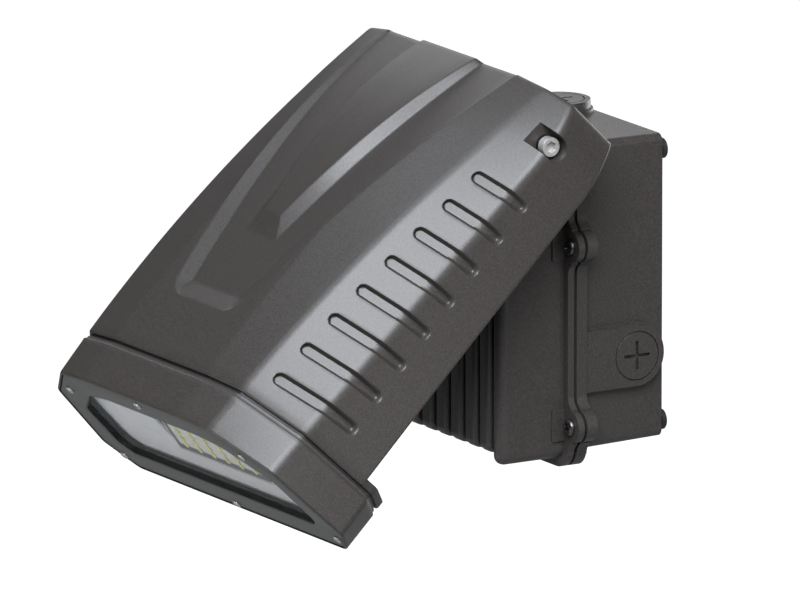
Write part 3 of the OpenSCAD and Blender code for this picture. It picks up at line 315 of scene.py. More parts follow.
def on_head(points):
    """Row-frame metres of points (x, s, n) given in millimetres on the head."""
    p = np.asarray(points, float)
    y = PIVOT_S - p[..., 1]
    z = p[..., 2] + PIVOT_DROP
    turned = [p[..., 0], PIVOT[1] + y * cos(TILT) - z * sin(TILT), PIVOT[2] + y * sin(TILT) + z * cos(TILT)]
    return np.stack(turned, -1) * MM


def eased_line(corners, steps=5):
    """Points along corners (x, n, ease, gap): each corner is rounded over its ease, each gap is divided."""
    points = []
    xy = np.array([c[:2] for c in corners], float)
    for k, (x, n, ease, gap) in enumerate(corners):
        here = xy[k]
        before = xy[k - 1] - here if k else None
        after = xy[k + 1] - here if k + 1 < len(corners) else None
        if before is None or after is None or ease == 0:
            points.append(here)
        else:
            room = [max(float(np.hypot(*v)), LEAST_ROOM) for v in (before, after)]
            e = min(ease, EASE_SHARE * room[0], EASE_SHARE * room[1])
            a, b = here + before / room[0] * e, here + after / room[1] * e
            for t in np.linspace(0, 1, steps):
                points.append((1 - t) ** 2 * a + 2 * t * (1 - t) * here + t ** 2 * b)
        if gap > 1 and after is not None:
            start = points[-1]
            room = max(float(np.hypot(*after)), LEAST_ROOM)
            following = corners[k + 1][2]
            stop = xy[k + 1] - after / room * min(following, EASE_SHARE * room)
            points += [start + (stop - start) * i / gap for i in range(1, gap)]
    return np.array(points)


def mirrored(half):
    """Whole outline from the left foot over the top to the right foot; the half starts on the middle line."""
    half = np.asarray(half, float)
    left = half[::-1] * [-1, 1]
    return np.vstack([left[:-1] if abs(half[0, 0]) < TINY else left, half])


def closed(half):
    """Closed outline from a half that starts and ends on the middle line."""
    left = half[::-1] * [-1, 1]
    return np.vstack([left[1:-1], half])


def grown(outline, by):
    """A closed outline moved outwards by a distance; it runs clockwise from the left foot over the top."""
    def normal(v):
        length = np.maximum(np.hypot(v[:, 0], v[:, 1]), TINY)
        return np.stack([-v[:, 1], v[:, 0]], -1) / length[:, None]
    a = normal(outline - np.roll(outline, 1, axis=0))
    b = normal(np.roll(outline, -1, axis=0) - outline)
    return outline + (a + b) * by / np.maximum(1 + (a * b).sum(1), MITRE_LEAST)[:, None]


def ring(outline, s):
    return on_head(np.stack([outline[:, 0], np.full(len(outline), float(s)), outline[:, 1]], -1))


def between(a, b, t):
    return a + (b - a) * min(1, max(0, t))


def ramp(t, soft=0.12):
    """0 below 0, 1 above 1, straight between, with eased ends."""
    def hinge(v):
        return 0.5 * (v + (v * v + soft * soft / 4) ** 0.5)
    return hinge(t) - hinge(t - 1)


# The head's form, by the same rules as its solid. Crown: the middle of the top, nearly flat out to FLAT_HW.
CROWN_REAR, CROWN_PEAK, CROWN_APEX, CROWN_BOW = 4.7, 28.8, 166.2, 2.3
CROWN_FALL, CROWN_FALL_BOW, FLAT_HW = 2.1, 1.5, 43.5
# Crease: where the top turns down to the light facet
CREASE_HW_REAR, CREASE_HW_FRONT, CREASE_HW_BOW = 81.3, 69.9, 1.5
CREASE_RISE, CREASE_APEX = 24.6, 203.2
# Ridge: the widest line, where the facet meets the side, tucked in at the rear
RIDGE_HW, RIDGE_TUCK, RIDGE_TUCK_LEN = 101.5, 5.5, 25
RIDGE_LOW_S, RIDGE_LOW_N, RIDGE_REAR_N, RIDGE_FRONT_N = 37, -9.6, -8.2, 0.5
# Side: its lean at the front, and the skirt that is its lower edge
SIDE_LEAN = 0.26
SKIRT_REAR_N, SKIRT_CORNER_S, SKIRT_CORNER_N, SKIRT_FRONT_N = -39.2, 30.2, -42.2, -38.9


def crown_n(s):
    if s < CROWN_APEX:
        return CROWN_PEAK - (CROWN_PEAK - CROWN_REAR) * (1 - s / CROWN_APEX) ** CROWN_BOW
    return CROWN_PEAK - CROWN_FALL * ((s - CROWN_APEX) / (HEAD_LEN - CROWN_APEX)) ** CROWN_FALL_BOW


def crease_n(s):
    return CREASE_RISE * (1 - (1 - s / CREASE_APEX) ** 2)


def crease_hw(s):
    return CREASE_HW_REAR - (CREASE_HW_REAR - CREASE_HW_FRONT) * (max(s, 0) / HEAD_LEN) ** CREASE_HW_BOW


def ridge_n(s):
    if s < RIDGE_LOW_S:
        return RIDGE_LOW_N + (RIDGE_REAR_N - RIDGE_LOW_N) * (1 - s / RIDGE_LOW_S) ** 2
    return between(RIDGE_LOW_N, RIDGE_FRONT_N, (s - RIDGE_LOW_S) / (HEAD_LEN - RIDGE_LOW_S))


def ridge_x(s):
    return RIDGE_HW - RIDGE_TUCK * (1 - min(s / RIDGE_TUCK_LEN, 1)) ** 2


def side_x(s, n):
    return ridge_x(s) + SIDE_LEAN * s / HEAD_LEN * (ridge_n(s) - n)


def skirt_n(s):
    if s < SKIRT_CORNER_S:
        return between(SKIRT_REAR_N, SKIRT_CORNER_N, s / SKIRT_CORNER_S)
    return between(SKIRT_CORNER_N, SKIRT_FRONT_N, (s - SKIRT_CORNER_S) / (HOOD_LEN - SKIRT_CORNER_S))


# The recess in the top: its rim narrows to a rounded end, its walls widen forwards
RECESS_HW, RECESS_END, RECESS_SLOPE = 59.3, HOOD_LEN - 32.5, 10.2
RECESS_NARROW, RECESS_BOW, RECESS_ROUND = 30, 1.5, 11
RECESS_DEPTH, RECESS_REAR_DEPTH, RECESS_FULL_S = 2.8, 0.8, 91
WALL_REAR, WALL_W, WALL_END, RIM_LEDGE = 0.6, 9.6, 0.7, 0.8
FLOOR_END = RECESS_END - RECESS_SLOPE
# The tongue that rises out of the recess: its top, its foot and the slope of its tip
TONGUE_HW_REAR, TONGUE_HW_TIP, TONGUE_TAPER = 24.5, 7.3, 1.65
TONGUE_LEN, TONGUE_SLOPE = HOOD_LEN - 89, 12
TONGUE_REAR_N, TONGUE_TIP_N, TONGUE_BOW = 7, 28, 2.3
FOOT_HW_REAR, FOOT_HW_TIP, FOOT_TAPER, FOOT_EDGE = 28, 14, 1.3, 0.5
TONGUE_END = TONGUE_LEN + TONGUE_SLOPE


def rim_hw(s):
    e = min(max(s, 0), RECESS_END)
    t = min(1, max(0, (e - RECESS_END + RECESS_ROUND) / RECESS_ROUND))
    narrow = RECESS_NARROW * (e / RECESS_END) ** RECESS_BOW
    return RECESS_HW - narrow - RECESS_ROUND * (1 - (1 - t * t) ** 0.5)


def recess_fall(s):
    return 1 - ramp((s - FLOOR_END) / RECESS_SLOPE)


def floor_n(s):
    return crown_n(s) - between(RECESS_REAR_DEPTH, RECESS_DEPTH, s / RECESS_FULL_S) * recess_fall(s)


def floor_hw(s):
    return rim_hw(s) - between(WALL_END, between(WALL_REAR, WALL_W, s / TONGUE_END), recess_fall(s))


def tongue_lift(s):
    return 1 - ramp((s - TONGUE_LEN) / TONGUE_SLOPE)


def tongue_n(s):
    top = TONGUE_TIP_N - (TONGUE_TIP_N - TONGUE_REAR_N) * max(1 - s / TONGUE_LEN, 0) ** TONGUE_BOW
    return between(floor_n(s), top, tongue_lift(s))


def tongue_base_hw(s):
    return between(FOOT_HW_REAR, FOOT_HW_TIP, min(max(s, 0) / TONGUE_END, 1) ** FOOT_TAPER)


def tongue_hw(s):
    if s < TONGUE_LEN:
        return between(TONGUE_HW_REAR, TONGUE_HW_TIP, (max(s, 0) / TONGUE_LEN) ** TONGUE_TAPER)
    return between(TONGUE_HW_TIP, FOOT_HW_TIP - FOOT_EDGE, 1 - tongue_lift(s))


# Eases of the hood's edges from the middle outwards, and the divisions that carve the slots finely enough
RELIEF_EASE, RIM_EASE, FLAT_EASE, CREASE_EASE, RIDGE_EASE, SKIRT_EASE = 0.8, 1.2, 2, 2.5, 3.0, 1.8
SKIRT_W = 3
FACET_DIVISIONS, SIDE_DIVISIONS = 62, 54


def hood_corners(s):
    """Half outline of the hood's outside: corners with the ease and the number of divisions after each."""
    foot = skirt_n(s)
    return [
        (0, tongue_n(s), 0, 2),
        (tongue_hw(s), tongue_n(s), RELIEF_EASE, 1),
        (tongue_base_hw(s), floor_n(s), RELIEF_EASE, 4),
        (floor_hw(s), floor_n(s), RELIEF_EASE, 1),
        (rim_hw(s), crown_n(s), RIM_EASE, 1),
        (max(rim_hw(s) + RIM_LEDGE, FLAT_HW), crown_n(s), FLAT_EASE, 4),
        (crease_hw(s), crease_n(s), CREASE_EASE, FACET_DIVISIONS),
        (ridge_x(s), ridge_n(s), RIDGE_EASE, SIDE_DIVISIONS),
        (side_x(s, foot), foot, SKIRT_EASE, 1),
        (side_x(s, foot) - SKIRT_W, foot, 0, 1)]


# Side slots, carved across each ridge
SLOT_COUNT, SLOT_PITCH, SLOT_W, SLOT_DEPTH = 8, 19.4, 6.4, 3.0
SLOT_FIRST = HOOD_LEN - 16.3 - (SLOT_COUNT - 1) * SLOT_PITCH
SLOT_DIR, SLOT_LEAN, SLOT_UPPER_IN, SLOT_LOWER_N = radians(24), radians(3.5), 6.5, -20
SLOT_ALONG = np.array([sin(SLOT_DIR), -cos(SLOT_DIR)])
# Rounding outside the slot's edge, width of its wall, and how much wider the wall is at the lower end
SLOT_LIP, SLOT_WALL, SLOT_RAMP = 0.5, 1.1, 1.3
# The slots lean, so the rings between them lean too: from this place on, and over the slots' reach only
LEAN_START, LEAN_GROWTH, LEAN_END, LEAN_FADE = 30, 16, 3, 10
LEAN_X, LEAN_X_GROWTH, LEAN_ABOVE, LEAN_BELOW = 60, 10, 4, 6


def slot_span(s):
    """Where the slot at station s starts and ends along its own direction."""
    t = SLOT_UPPER_IN / (RIDGE_HW - crease_hw(s))
    upper = np.array([crease_hw(s) + SLOT_UPPER_IN, between(crease_n(s), ridge_n(s), t)])
    lower = np.array([side_x(s, SLOT_LOWER_N), SLOT_LOWER_N])
    return float(upper @ SLOT_ALONG), float(lower @ SLOT_ALONG)


def slot_lean(outline, q, s):
    """How far the points of one side's outline move along the head so that the slots lean."""
    start, stop = slot_span(s)
    growth = min(1, max(0, (s - LEAN_START) / LEAN_GROWTH))
    fade = min(1, max(0, (HOOD_LEN - LEAN_END - s) / LEAN_FADE))
    on_side = np.clip((outline[:, 0] - LEAN_X) / LEAN_X_GROWTH, 0, 1)
    reach = np.clip(q, start - LEAN_ABOVE, stop + LEAN_BELOW) - (start + stop) / 2
    return -np.tan(SLOT_LEAN) * reach * (growth * fade) * on_side


def with_slots(outline, s):
    """Moves the points of one side's outline to carve the slots; returns x, s and n of each point."""
    q = outline @ SLOT_ALONG
    points = np.stack([outline[:, 0], s + slot_lean(outline, q, s), outline[:, 1]], -1)
    k = round((s - SLOT_FIRST) / SLOT_PITCH)
    if 0 <= k < SLOT_COUNT:
        centre = SLOT_FIRST + k * SLOT_PITCH
        start, stop = slot_span(centre)
        half = (stop - start - SLOT_W) / 2
        from_middle = q - (start + stop) / 2
        past_end = np.maximum(np.abs(from_middle) - half, 0)
        distance = np.hypot(past_end, s - centre) - SLOT_W / 2
        wall = SLOT_WALL + SLOT_RAMP * np.clip(from_middle / half, 0, 1)
        t = np.clip((SLOT_LIP - distance) / (SLOT_LIP + wall), 0, 1)
        depth = SLOT_DEPTH * t * t * (3 - 2 * t)
        keep = (outline[:, 0] > LEAN_X) & (distance < SLOT_LIP)
        points[:, 0] -= np.where(keep, depth * cos(SLOT_DIR), 0)
        points[:, 2] -= np.where(keep, depth * sin(SLOT_DIR), 0)
    return points


# Stations of the hood's rings: first lines, plain steps, lines across a slot and fine steps at the relief's ends
REAR_LINES, PLAIN_START, PLAIN_END, PLAIN_STEP, FRONT_LINE, FRONT_GAP = (2.2, 3.5), 6, 5, 3.0, 1, 0.5
SLOT_LINES = (0.9, 1.7, 2.1, 2.5, 2.85, 3.2, 3.5, 3.9, 5.5)
TIP_MARGIN, END_BEFORE, END_AFTER, FINE_STEP, LEAST_STEP = 1.5, 2, 1, 0.9, 0.25
# Rings of the eased rear edge, as (station of the form, inset, place), and of the front one, as (before it, inset)
REAR_EDGE = ((0.3, 1.1, 0.0), (0.4, 0.65, 0.15), (0.6, 0.32, 0.45), (1.2, 0.08, 1.1))
FRONT_EDGE = ((0.6, 0.15), (0, 0.7))


def hood_lines():
    """Stations of the hood's rings: close together at a slot's wall, the tongue's tip and the recess's end."""
    lines = set(REAR_LINES) | {HOOD_LEN - FRONT_LINE}
    lines |= set(np.arange(PLAIN_START, SLOT_FIRST - PLAIN_END, PLAIN_STEP))
    for k in range(SLOT_COUNT):
        centre = SLOT_FIRST + k * SLOT_PITCH
        lines |= {centre, centre + SLOT_PITCH / 2}
        lines |= {centre + d for d in SLOT_LINES} | {centre - d for d in SLOT_LINES}
    tip = (TONGUE_LEN - TIP_MARGIN, TONGUE_END + TIP_MARGIN)
    for start, stop in (tip, (FLOOR_END - END_BEFORE, RECESS_END + END_AFTER)):
        lines |= {float(v) for v in np.arange(start, stop, FINE_STEP)}
    lines = sorted(v for v in lines if v < HOOD_LEN - FRONT_GAP)
    kept = [lines[0]]
    for v in lines[1:]:
        if v - kept[-1] > LEAST_STEP:
            kept.append(v)
    return kept


def hood_ring(s, inset=0.0, at=None):
    """One ring of the hood's outside, drawn in by an inset and put at another station for an eased edge."""
    half = eased_line(hood_corners(s))
    outline = mirrored(half)
    side = with_slots(half, s)
    left = side[::-1] * [-1, 1, 1]
    points = np.vstack([left[:-1], side])
    if inset:
        moved = grown(outline, -inset)
        points[:, 0] += moved[:, 0] - outline[:, 0]
        points[:, 2] += moved[:, 1] - outline[:, 1]
    if at is not None:
        points[:, 1] = at
    return on_head(points)


# The hollow under the hood: wall, and how much of it counts at the crease and at the ridge
HOOD_WALL, CREASE_WALL_SHARE, RIDGE_WALL_SHARE, HOLLOW_EASE, HOLLOW_LOW_N = 4, 1.3, 0.48, 3, -80
HOLLOW_LINES = (-2, 0, 2, 5, 9, 14, 20, 27, 36, 46, 58, 72, 88, 104, 118, 130, 142, 154, 165, 170, 175.2, 190)
# The bulkhead behind the ring gasket, and its eased front edge
BULKHEAD_S = HOOD_LEN - 4
BULKHEAD_PLAY, BULKHEAD_EDGE_LEN, BULKHEAD_EDGE_IN = 0.3, 0.8, 0.5
# The pivot: knuckle and disc inside, the screw's seat, pocket and bore outside, each tool past its face
KNUCKLE_OUT, DISC_T, SEAT_X, POCKET_R, BOSS_R, BORE_R = 86.2, 1, 91.2, 6.2, 10.5, 3.05
POCKET_PAST, BORE_PAST = 2, 1


def under_corners(s):
    """Half outline of the hood's hollow."""
    hollow = max(s, 0)
    return [(max(rim_hw(hollow) + RIM_LEDGE, FLAT_HW), floor_n(hollow) - HOOD_WALL, 0, 1),
            (crease_hw(hollow), crease_n(hollow) - CREASE_WALL_SHARE * HOOD_WALL, HOLLOW_EASE, 1),
            (ridge_x(hollow) - HOOD_WALL, ridge_n(hollow) - RIDGE_WALL_SHARE * HOOD_WALL, HOLLOW_EASE, 1),
            (side_x(hollow, HOLLOW_LOW_N) - HOOD_WALL, HOLLOW_LOW_N, 0, 1)]


def bar(name, x0, x1, y, z, radius, sides=48):
    """Closed cylinder along X, millimetres in the row frame."""
    angles = np.linspace(0, 2 * pi, sides, endpoint=False)
    across, up = y + radius * np.cos(angles), z + radius * np.sin(angles)
    return loft(name, np.array([np.stack([np.full(sides, x), across, up], -1) for x in (x0, x1)]) * MM)


def pivot_slab(name, x0, x1, radius, up=2 * PIVOT_DROP, steps=33):
    """Upright slab about the pivot axis in the head's tilt, round below and open above."""
    angles = np.linspace(pi, 2 * pi, steps)
    outline = [(PIVOT_S - radius * cos(a), -PIVOT_DROP + radius * sin(a)) for a in angles]
    outline = np.array(outline + [(PIVOT_S - radius, up - PIVOT_DROP), (PIVOT_S + radius, up - PIVOT_DROP)])
    rings = []
    for x in (x0, x1):
        rings.append(on_head(np.stack([np.full(len(outline), x), outline[:, 0], outline[:, 1]], -1)))
    return loft(name, rings)


def make_hood():
    """Main casting of the head: eased form with carved slots, hollow below, closed in front by its bulkhead."""
    rings = [hood_ring(*edge) for edge in REAR_EDGE]
    rings += [hood_ring(s) for s in hood_lines()]
    rings += [hood_ring(HOOD_LEN - before, inset) for before, inset in FRONT_EDGE]
    hood = loft("hood_casting", rings)
    stations = HOLLOW_LINES + (BULKHEAD_S,)
    hollow = loft("hollow", [ring(mirrored(eased_line(under_corners(s))), s) for s in stations])
    for side in (-1, 1):
        x0, x1 = sorted((side * (KNUCKLE_OUT + DISC_T), side * RIDGE_HW))
        cut(hollow, pivot_slab("boss", x0, x1, BOSS_R))
    cut(hood, hollow)
    low = grown(low_outline(HOOD_LEN), -BULKHEAD_PLAY)
    bulkhead = [ring(low, BULKHEAD_S), ring(low, HOOD_LEN - BULKHEAD_EDGE_LEN)]
    cut(hood, loft("bulkhead", bulkhead + [ring(grown(low, -BULKHEAD_EDGE_IN), HOOD_LEN)]), "UNION")
    for side in (-1, 1):
        x0, x1 = sorted((side * SEAT_X, side * (RIDGE_HW + POCKET_PAST)))
        cut(hood, pivot_slab("pocket", x0, x1, POCKET_R))
        x0, x1 = sorted((side * (KNUCKLE_OUT - BORE_PAST), side * (SEAT_X + BORE_PAST)))
        cut(hood, bar("bore", x0, x1, PIVOT[1], PIVOT[2], BORE_R))
    shade(hood.data)
    finish_piece(hood, "head_hood", COAT)


# Outline of the front ring below the ridge: a leaning side, a cut corner and a flat bottom
LOW_SIDE_N, LOW_BOTTOM_N, LOW_BOTTOM_HW, LOW_CORNER_X, LOW_CORNER_N = -45, -62, 96.5, 3.5, 2.6
RING_EASE, LOW_EASE, BOTTOM_EASE = 3, 2.5, 2
# The lamp window, as corners (x, n, ease) from its top to its bottom
WINDOW_TOP_N, WINDOW_BOTTOM_N = 10.4, -46
WINDOW_CORNERS = ((42, WINDOW_TOP_N, 3), (62.5, 7.1, 3), (87.9, -11, 3), (92, -40, 5), (86.5, WINDOW_BOTTOM_N, 5))
# Depths in the ring: the frame's pocket, then the gasket and the glass
RING_REAR_S = HEAD_LEN - RING_LEN
FRAME_SINK, FRAME_T, GASKET_T, GLASS_T = 3, 2.6, 0.8, 3.2
FRAME_BACK_S = HEAD_LEN - FRAME_SINK
FRAME_FACE_S = FRAME_BACK_S + FRAME_T
GLASS_BACK_S = FRAME_BACK_S - GASKET_T - GLASS_T
# The ring's rear: a lip of this length, its edge as (outline grown by, past the rear) and its step, from the lip
LIP_LEN = 2.2
LIP_EDGE = ((-1.7, 0), (-1.1, 0.4))
LIP_STEP = ((-0.95, -0.6), (-0.75, -0.1), (-0.2, 0.1), (0, 0.5))
BODY_START, BODY_END, RING_ROUND, RING_STEPS = 3, 1.6, 1.2, 5
# Openings in the ring, as growth of its outline or of the window, and how far their tools go past
POCKET_IN, POCKET_EDGE, SEAT_OUT, ROOM_OUT, TOOL_PAST = -1.6, 0.3, 3.6, 2, 1
# The frame plate: play in its pocket, and its pressed edges as (outline grown by, below the face)
FRAME_PLAY = 2
PLATE_EDGE = ((0, 0.5), (-0.15, 0.15), (-0.5, 0))
WINDOW_EDGE = ((0, 0.6), (0.2, 0.2), (0.6, 0), (0.6, -1))


def low_outline(s):
    """Outline of the bulkhead, the ring gasket and the front ring."""
    return closed(eased_line([
        (0, crown_n(s), 0, 1),
        (FLAT_HW, crown_n(s), RING_EASE, 1),
        (crease_hw(s), crease_n(s), RING_EASE, 1),
        (RIDGE_HW, ridge_n(s), RING_EASE, 1),
        (side_x(s, LOW_SIDE_N), LOW_SIDE_N, LOW_EASE, 1),
        (LOW_BOTTOM_HW + LOW_CORNER_X, LOW_BOTTOM_N + LOW_CORNER_N, LOW_EASE, 1),
        (LOW_BOTTOM_HW, LOW_BOTTOM_N, BOTTOM_EASE, 1),
        (0, LOW_BOTTOM_N, 0, 1)]))


def window_outline():
    corners = [(x, n, ease, 1) for x, n, ease in WINDOW_CORNERS]
    return closed(eased_line([(0, WINDOW_TOP_N, 0, 1)] + corners + [(0, WINDOW_BOTTOM_N, 0, 1)]))


def make_ring():
    """Front ring casting with its stepped rear lip and the pocket of the window frame."""
    rear, front = low_outline(RING_REAR_S), low_outline(HEAD_LEN)
    step = RING_REAR_S + LIP_LEN
    rings = [ring(grown(rear, by), RING_REAR_S + past) for by, past in LIP_EDGE]
    rings += [ring(grown(rear, by), step + past) for by, past in LIP_STEP]
    for s in np.linspace(step + BODY_START, HEAD_LEN - BODY_END, RING_STEPS):
        rings.append(ring(low_outline(s), s))
    for a in np.linspace(0, pi / 2, RING_STEPS):
        s = HEAD_LEN - RING_ROUND + RING_ROUND * sin(a)
        rings.append(ring(grown(front, -RING_ROUND * (1 - cos(a))), s))
    casting = loft("front_ring_casting", rings)
    pocket = grown(front, POCKET_IN)
    cut(casting, loft("pocket", [
        ring(pocket, FRAME_BACK_S), ring(pocket, HEAD_LEN - POCKET_EDGE),
        ring(grown(pocket, POCKET_EDGE), HEAD_LEN + TOOL_PAST)]))
    seat = grown(window_outline(), SEAT_OUT)
    cut(casting, loft("glass_seat", [ring(seat, GLASS_BACK_S - TOOL_PAST), ring(seat, HEAD_LEN)]))
    room = grown(window_outline(), ROOM_OUT)
    cut(casting, loft("lamp_room", [ring(room, RING_REAR_S - TOOL_PAST), ring(room, HEAD_LEN)]))
    shade(casting.data)
    finish_piece(casting, "front_ring", COAT)


def make_frame():
    """Sheet frame that holds the glass, its edges eased by the press."""
    outline, window = grown(low_outline(HEAD_LEN), -FRAME_PLAY), window_outline()
    edge = [ring(grown(outline, by), FRAME_FACE_S - below) for by, below in PLATE_EDGE]
    plate = loft("window_frame", [ring(outline, FRAME_BACK_S)] + edge)
    edge = [ring(grown(window, by), FRAME_FACE_S - below) for by, below in WINDOW_EDGE]
    cut(plate, loft("window", [ring(window, FRAME_BACK_S - TOOL_PAST)] + edge))
    shade(plate.data)
    finish_piece(plate, "lens_frame", FRAME_COAT)


make_hood()
make_ring()
make_frame()

# Castings eased from copies of their solids: merging and flattening first, then a bevel at edges past this angle
WELD, FLAT_ANGLE, EDGE_ANGLE, EDGE_MARGIN, FACE_WEIGHT = 2e-6, 0.6, 50, 5, 100
# The cover's ribs: how far across and down they reach, their depth, the rounding of their long edges
RIB_REACH, RIB_FOOT, RIB_DEPTH, RIB_ROUND, RIB_STEPS = 60, 74.5, 4.9, 2.4, 4
RIB_EDGE_ANGLE, SAME_X = 60, 1e-5


def rounded_ribs(shell):
    """Rounds the long edges of the cover's ribs down to their feet."""
    reach, foot = RIB_REACH * MM, RIB_FOOT * MM
    front = min(v.co.y for v in shell.verts if abs(v.co.x) < reach and abs(v.co.z) < reach)
    picked = []
    for edge in shell.edges:
        a, b = (v.co for v in edge.verts)
        along = abs(a.x - b.x) < SAME_X and abs(a.x) < reach and max(abs(a.z), abs(b.z)) < foot
        outer = max(a.y, b.y) < front + RIB_DEPTH * MM
        if along and outer and edge.calc_face_angle(0) > radians(RIB_EDGE_ANGLE):
            picked.append(edge)
    bmesh.ops.bevel(shell, geom=picked, offset=RIB_ROUND * MM, offset_type="OFFSET", segments=RIB_STEPS,
                    profile=0.5, affect="EDGES", clamp_overlap=False)


def eased(node, name, width, rounding=None):
    """Copy of a CAD casting with its sharp edges eased."""
    mesh = NODES[node].data.copy()
    shell = bmesh.new()
    shell.from_mesh(mesh)
    bmesh.ops.remove_doubles(shell, verts=shell.verts, dist=WELD)
    bmesh.ops.dissolve_limit(shell, angle_limit=radians(FLAT_ANGLE), verts=shell.verts, edges=shell.edges)
    if rounding:
        rounding(shell)
    shell.to_mesh(mesh)
    shell.free()
    shade(mesh, EDGE_ANGLE - EDGE_MARGIN)
    piece = new_piece(name, mesh)
    step = piece.modifiers.new("ease", "BEVEL")
    step.width = width * MM
    step.segments = 2
    step.limit_method = "ANGLE"
    step.angle_limit = radians(EDGE_ANGLE)
    step.use_clamp_overlap = True
    applied(piece)
    shade(piece.data, SMALL_ANGLE)
    even = piece.modifiers.new("even", "WEIGHTED_NORMAL")
    even.keep_sharp = True
    even.weight = FACE_WEIGHT
    applied(piece)
    finish_piece(piece, node, FINISH[SLOT_OF[node]])


CASTING_EASE, PLUG_EASE, SOCKET_EASE = 0.8, 0.25, 0.3
eased("back_box", "rear_box_casting", CASTING_EASE)
eased("front_cover", "cover_casting", CASTING_EASE, rounded_ribs)
eased("conduit_plugs", "threaded_plugs", PLUG_EASE)
eased("pivot_screws", "socket_screws", SOCKET_EASE)

# Screws and lamps, one of each kind, repeated on its places. A lathed piece closes at this radius.
AXIS_R = 0.05
# Pan head and shank tip, as shares of the head's radius and height and of the shank's radius
PAN_SHARES = ((0.97, 0), (1, 0.12), (1, 0.4), (0.93, 0.68), (0.78, 0.87), (0.5, 0.97))
TIP_R_SHARE, TIP_LEN_SHARE = 0.8, 0.5
# The driver's cross: arm, width and depth as shares of the head, its bottom as a share of the arm
CROSS_ARM_SHARE, CROSS_W_SHARE, CROSS_DEPTH_SHARE, CROSS_BOTTOM_SHARE, CROSS_PAST = 0.62, 0.2, 0.55, 0.5, 0.5


def turned(name, profile, sides=40):
    """Solid of revolution about Z through (radius, height) in millimetres."""
    angles = np.linspace(0, 2 * pi, sides, endpoint=False)
    across, up = np.cos(angles), np.sin(angles)
    return loft(name, [np.stack([r * across, r * up, np.full(sides, z)], -1) * MM for r, z in profile])


def cross_tool(arm, width, top, depth):
    """Tapered cross that cuts a driver's recess down from a height."""
    rings = []
    for share, z in ((CROSS_BOTTOM_SHARE, top - depth), (1.0, top + CROSS_PAST)):
        a, w = arm * share, width / 2
        corner = [(a, -w), (a, w), (w, w), (w, a), (-w, a), (-w, w),
                  (-a, w), (-a, -w), (-w, -w), (-w, -a), (w, -a), (w, -w)]
        rings.append([(x * MM, y * MM, z * MM) for x, y in corner])
    return loft("cross", rings)


def pan_screw(name, head_r, head_h, shank_r, length):
    """Pan-head screw with a cross recess, its head standing on z = 0."""
    tip = [(AXIS_R, -length), (shank_r * TIP_R_SHARE, -length)]
    tip += [(shank_r, TIP_LEN_SHARE * shank_r - length), (shank_r, 0)]
    head = [(head_r * r, head_h * h) for r, h in PAN_SHARES] + [(AXIS_R, head_h)]
    cross = cross_tool(CROSS_ARM_SHARE * head_r, CROSS_W_SHARE * head_r, head_h, CROSS_DEPTH_SHARE * head_h)
    return cut(turned(name, tip + head), cross)


def repeated(name, source, points, facing, finish, spin, seed):
    """One mesh with a source piece on every point, its Z along facing, turned about it by chance up to spin."""
    tree = bpy.data.node_groups.new(name + "_on_places", "GeometryNodeTree")
    kinds = {"Places": "Geometry", "Piece": "Object", "Facing": "Vector",
             "Finish": "Material", "Spin": "Float", "Seed": "Int"}
    for key, kind in kinds.items():
        tree.interface.new_socket(key, in_out="INPUT", socket_type="NodeSocket" + kind)
    tree.interface.new_socket("Pieces", in_out="OUTPUT", socket_type="NodeSocketGeometry")
    given = add(tree, "NodeGroupInput").outputs
    shape = add(tree, "GeometryNodeObjectInfo", {"Object": given["Piece"], "As Instance": True})
    upright = add(tree, "FunctionNodeAlignRotationToVector", {"Vector": given["Facing"]}, axis="Z")
    copies = add(tree, "GeometryNodeInstanceOnPoints", {
        "Points": given["Places"], "Instance": shape.outputs["Geometry"], "Rotation": upright.outputs[0]})
    top = add(tree, "ShaderNodeCombineXYZ", {"Z": given["Spin"]})
    chance = add(tree, "FunctionNodeRandomValue", {
        0: (0, 0, 0), 1: top.outputs[0], "Seed": given["Seed"]}, data_type="FLOAT_VECTOR")
    spun = add(tree, "GeometryNodeRotateInstances", {
        "Instances": copies.outputs[0], "Rotation": chance.outputs[0], "Local Space": True})
    real = add(tree, "GeometryNodeRealizeInstances", {"Geometry": spun.outputs[0]})
    coated = add(tree, "GeometryNodeSetMaterial", {"Geometry": real.outputs[0], "Material": given["Finish"]})
    add(tree, "NodeGroupOutput", {"Pieces": coated.outputs[0]})
    mesh = bpy.data.meshes.new(name)
    mesh.from_pydata([tuple(q) for q in points], [], [])
    piece = new_piece(name, mesh)
    step = piece.modifiers.new("places", "NODES")
    step.node_group = tree
    values = {"Piece": source, "Facing": tuple(facing), "Finish": finish, "Spin": spin, "Seed": seed}
    for item in tree.interface.items_tree:
        if item.in_out == "INPUT" and item.name in values:
            step[item.identifier] = values[item.name]
    applied(piece)
    bpy.data.objects.remove(source)
    shade(piece.data, SMALL_ANGLE)
    return piece


# The leaning lamp board, the lamps' places on it and the lamp's low dome as (radius, height)
BOARD_LEAN, BOARD_SINK, BOARD_FOOT_N = radians(9), 9.9, -40
LAMP_COLUMNS, LAMP_ROWS, COLUMN_PITCH, ROW_PITCH, FIRST_ROW = 6, 9, 13, 4.1, 5.4
LAMP_PROFILE = ((2.05, 0), (2.1, 0.15), (2.1, 0.45), (1.95, 0.6), (1.5, 0.8), (0.8, 0.88), (AXIS_R, 0.9))
# Pan screws, as head radius, head height, shank radius and shank length, and the places of their heads
COVER_PAN, FRAME_PAN = (4.1, 2.4, 2, 10.7), (2.4, 1.3, 1.5, 9.6)
COVER_X, COVER_Y, COVER_Z = 75.6, -58.6, (27, -61.6)
FRAME_PLACES = ((0, 20.3), (0, -57.3), (81.2, 6.5), (-81.2, 6.5), (100.5, -52.1), (-100.5, -52.1))
COVER_SEED, FRAME_SEED, LAMP_SEED = 3, 5, 7


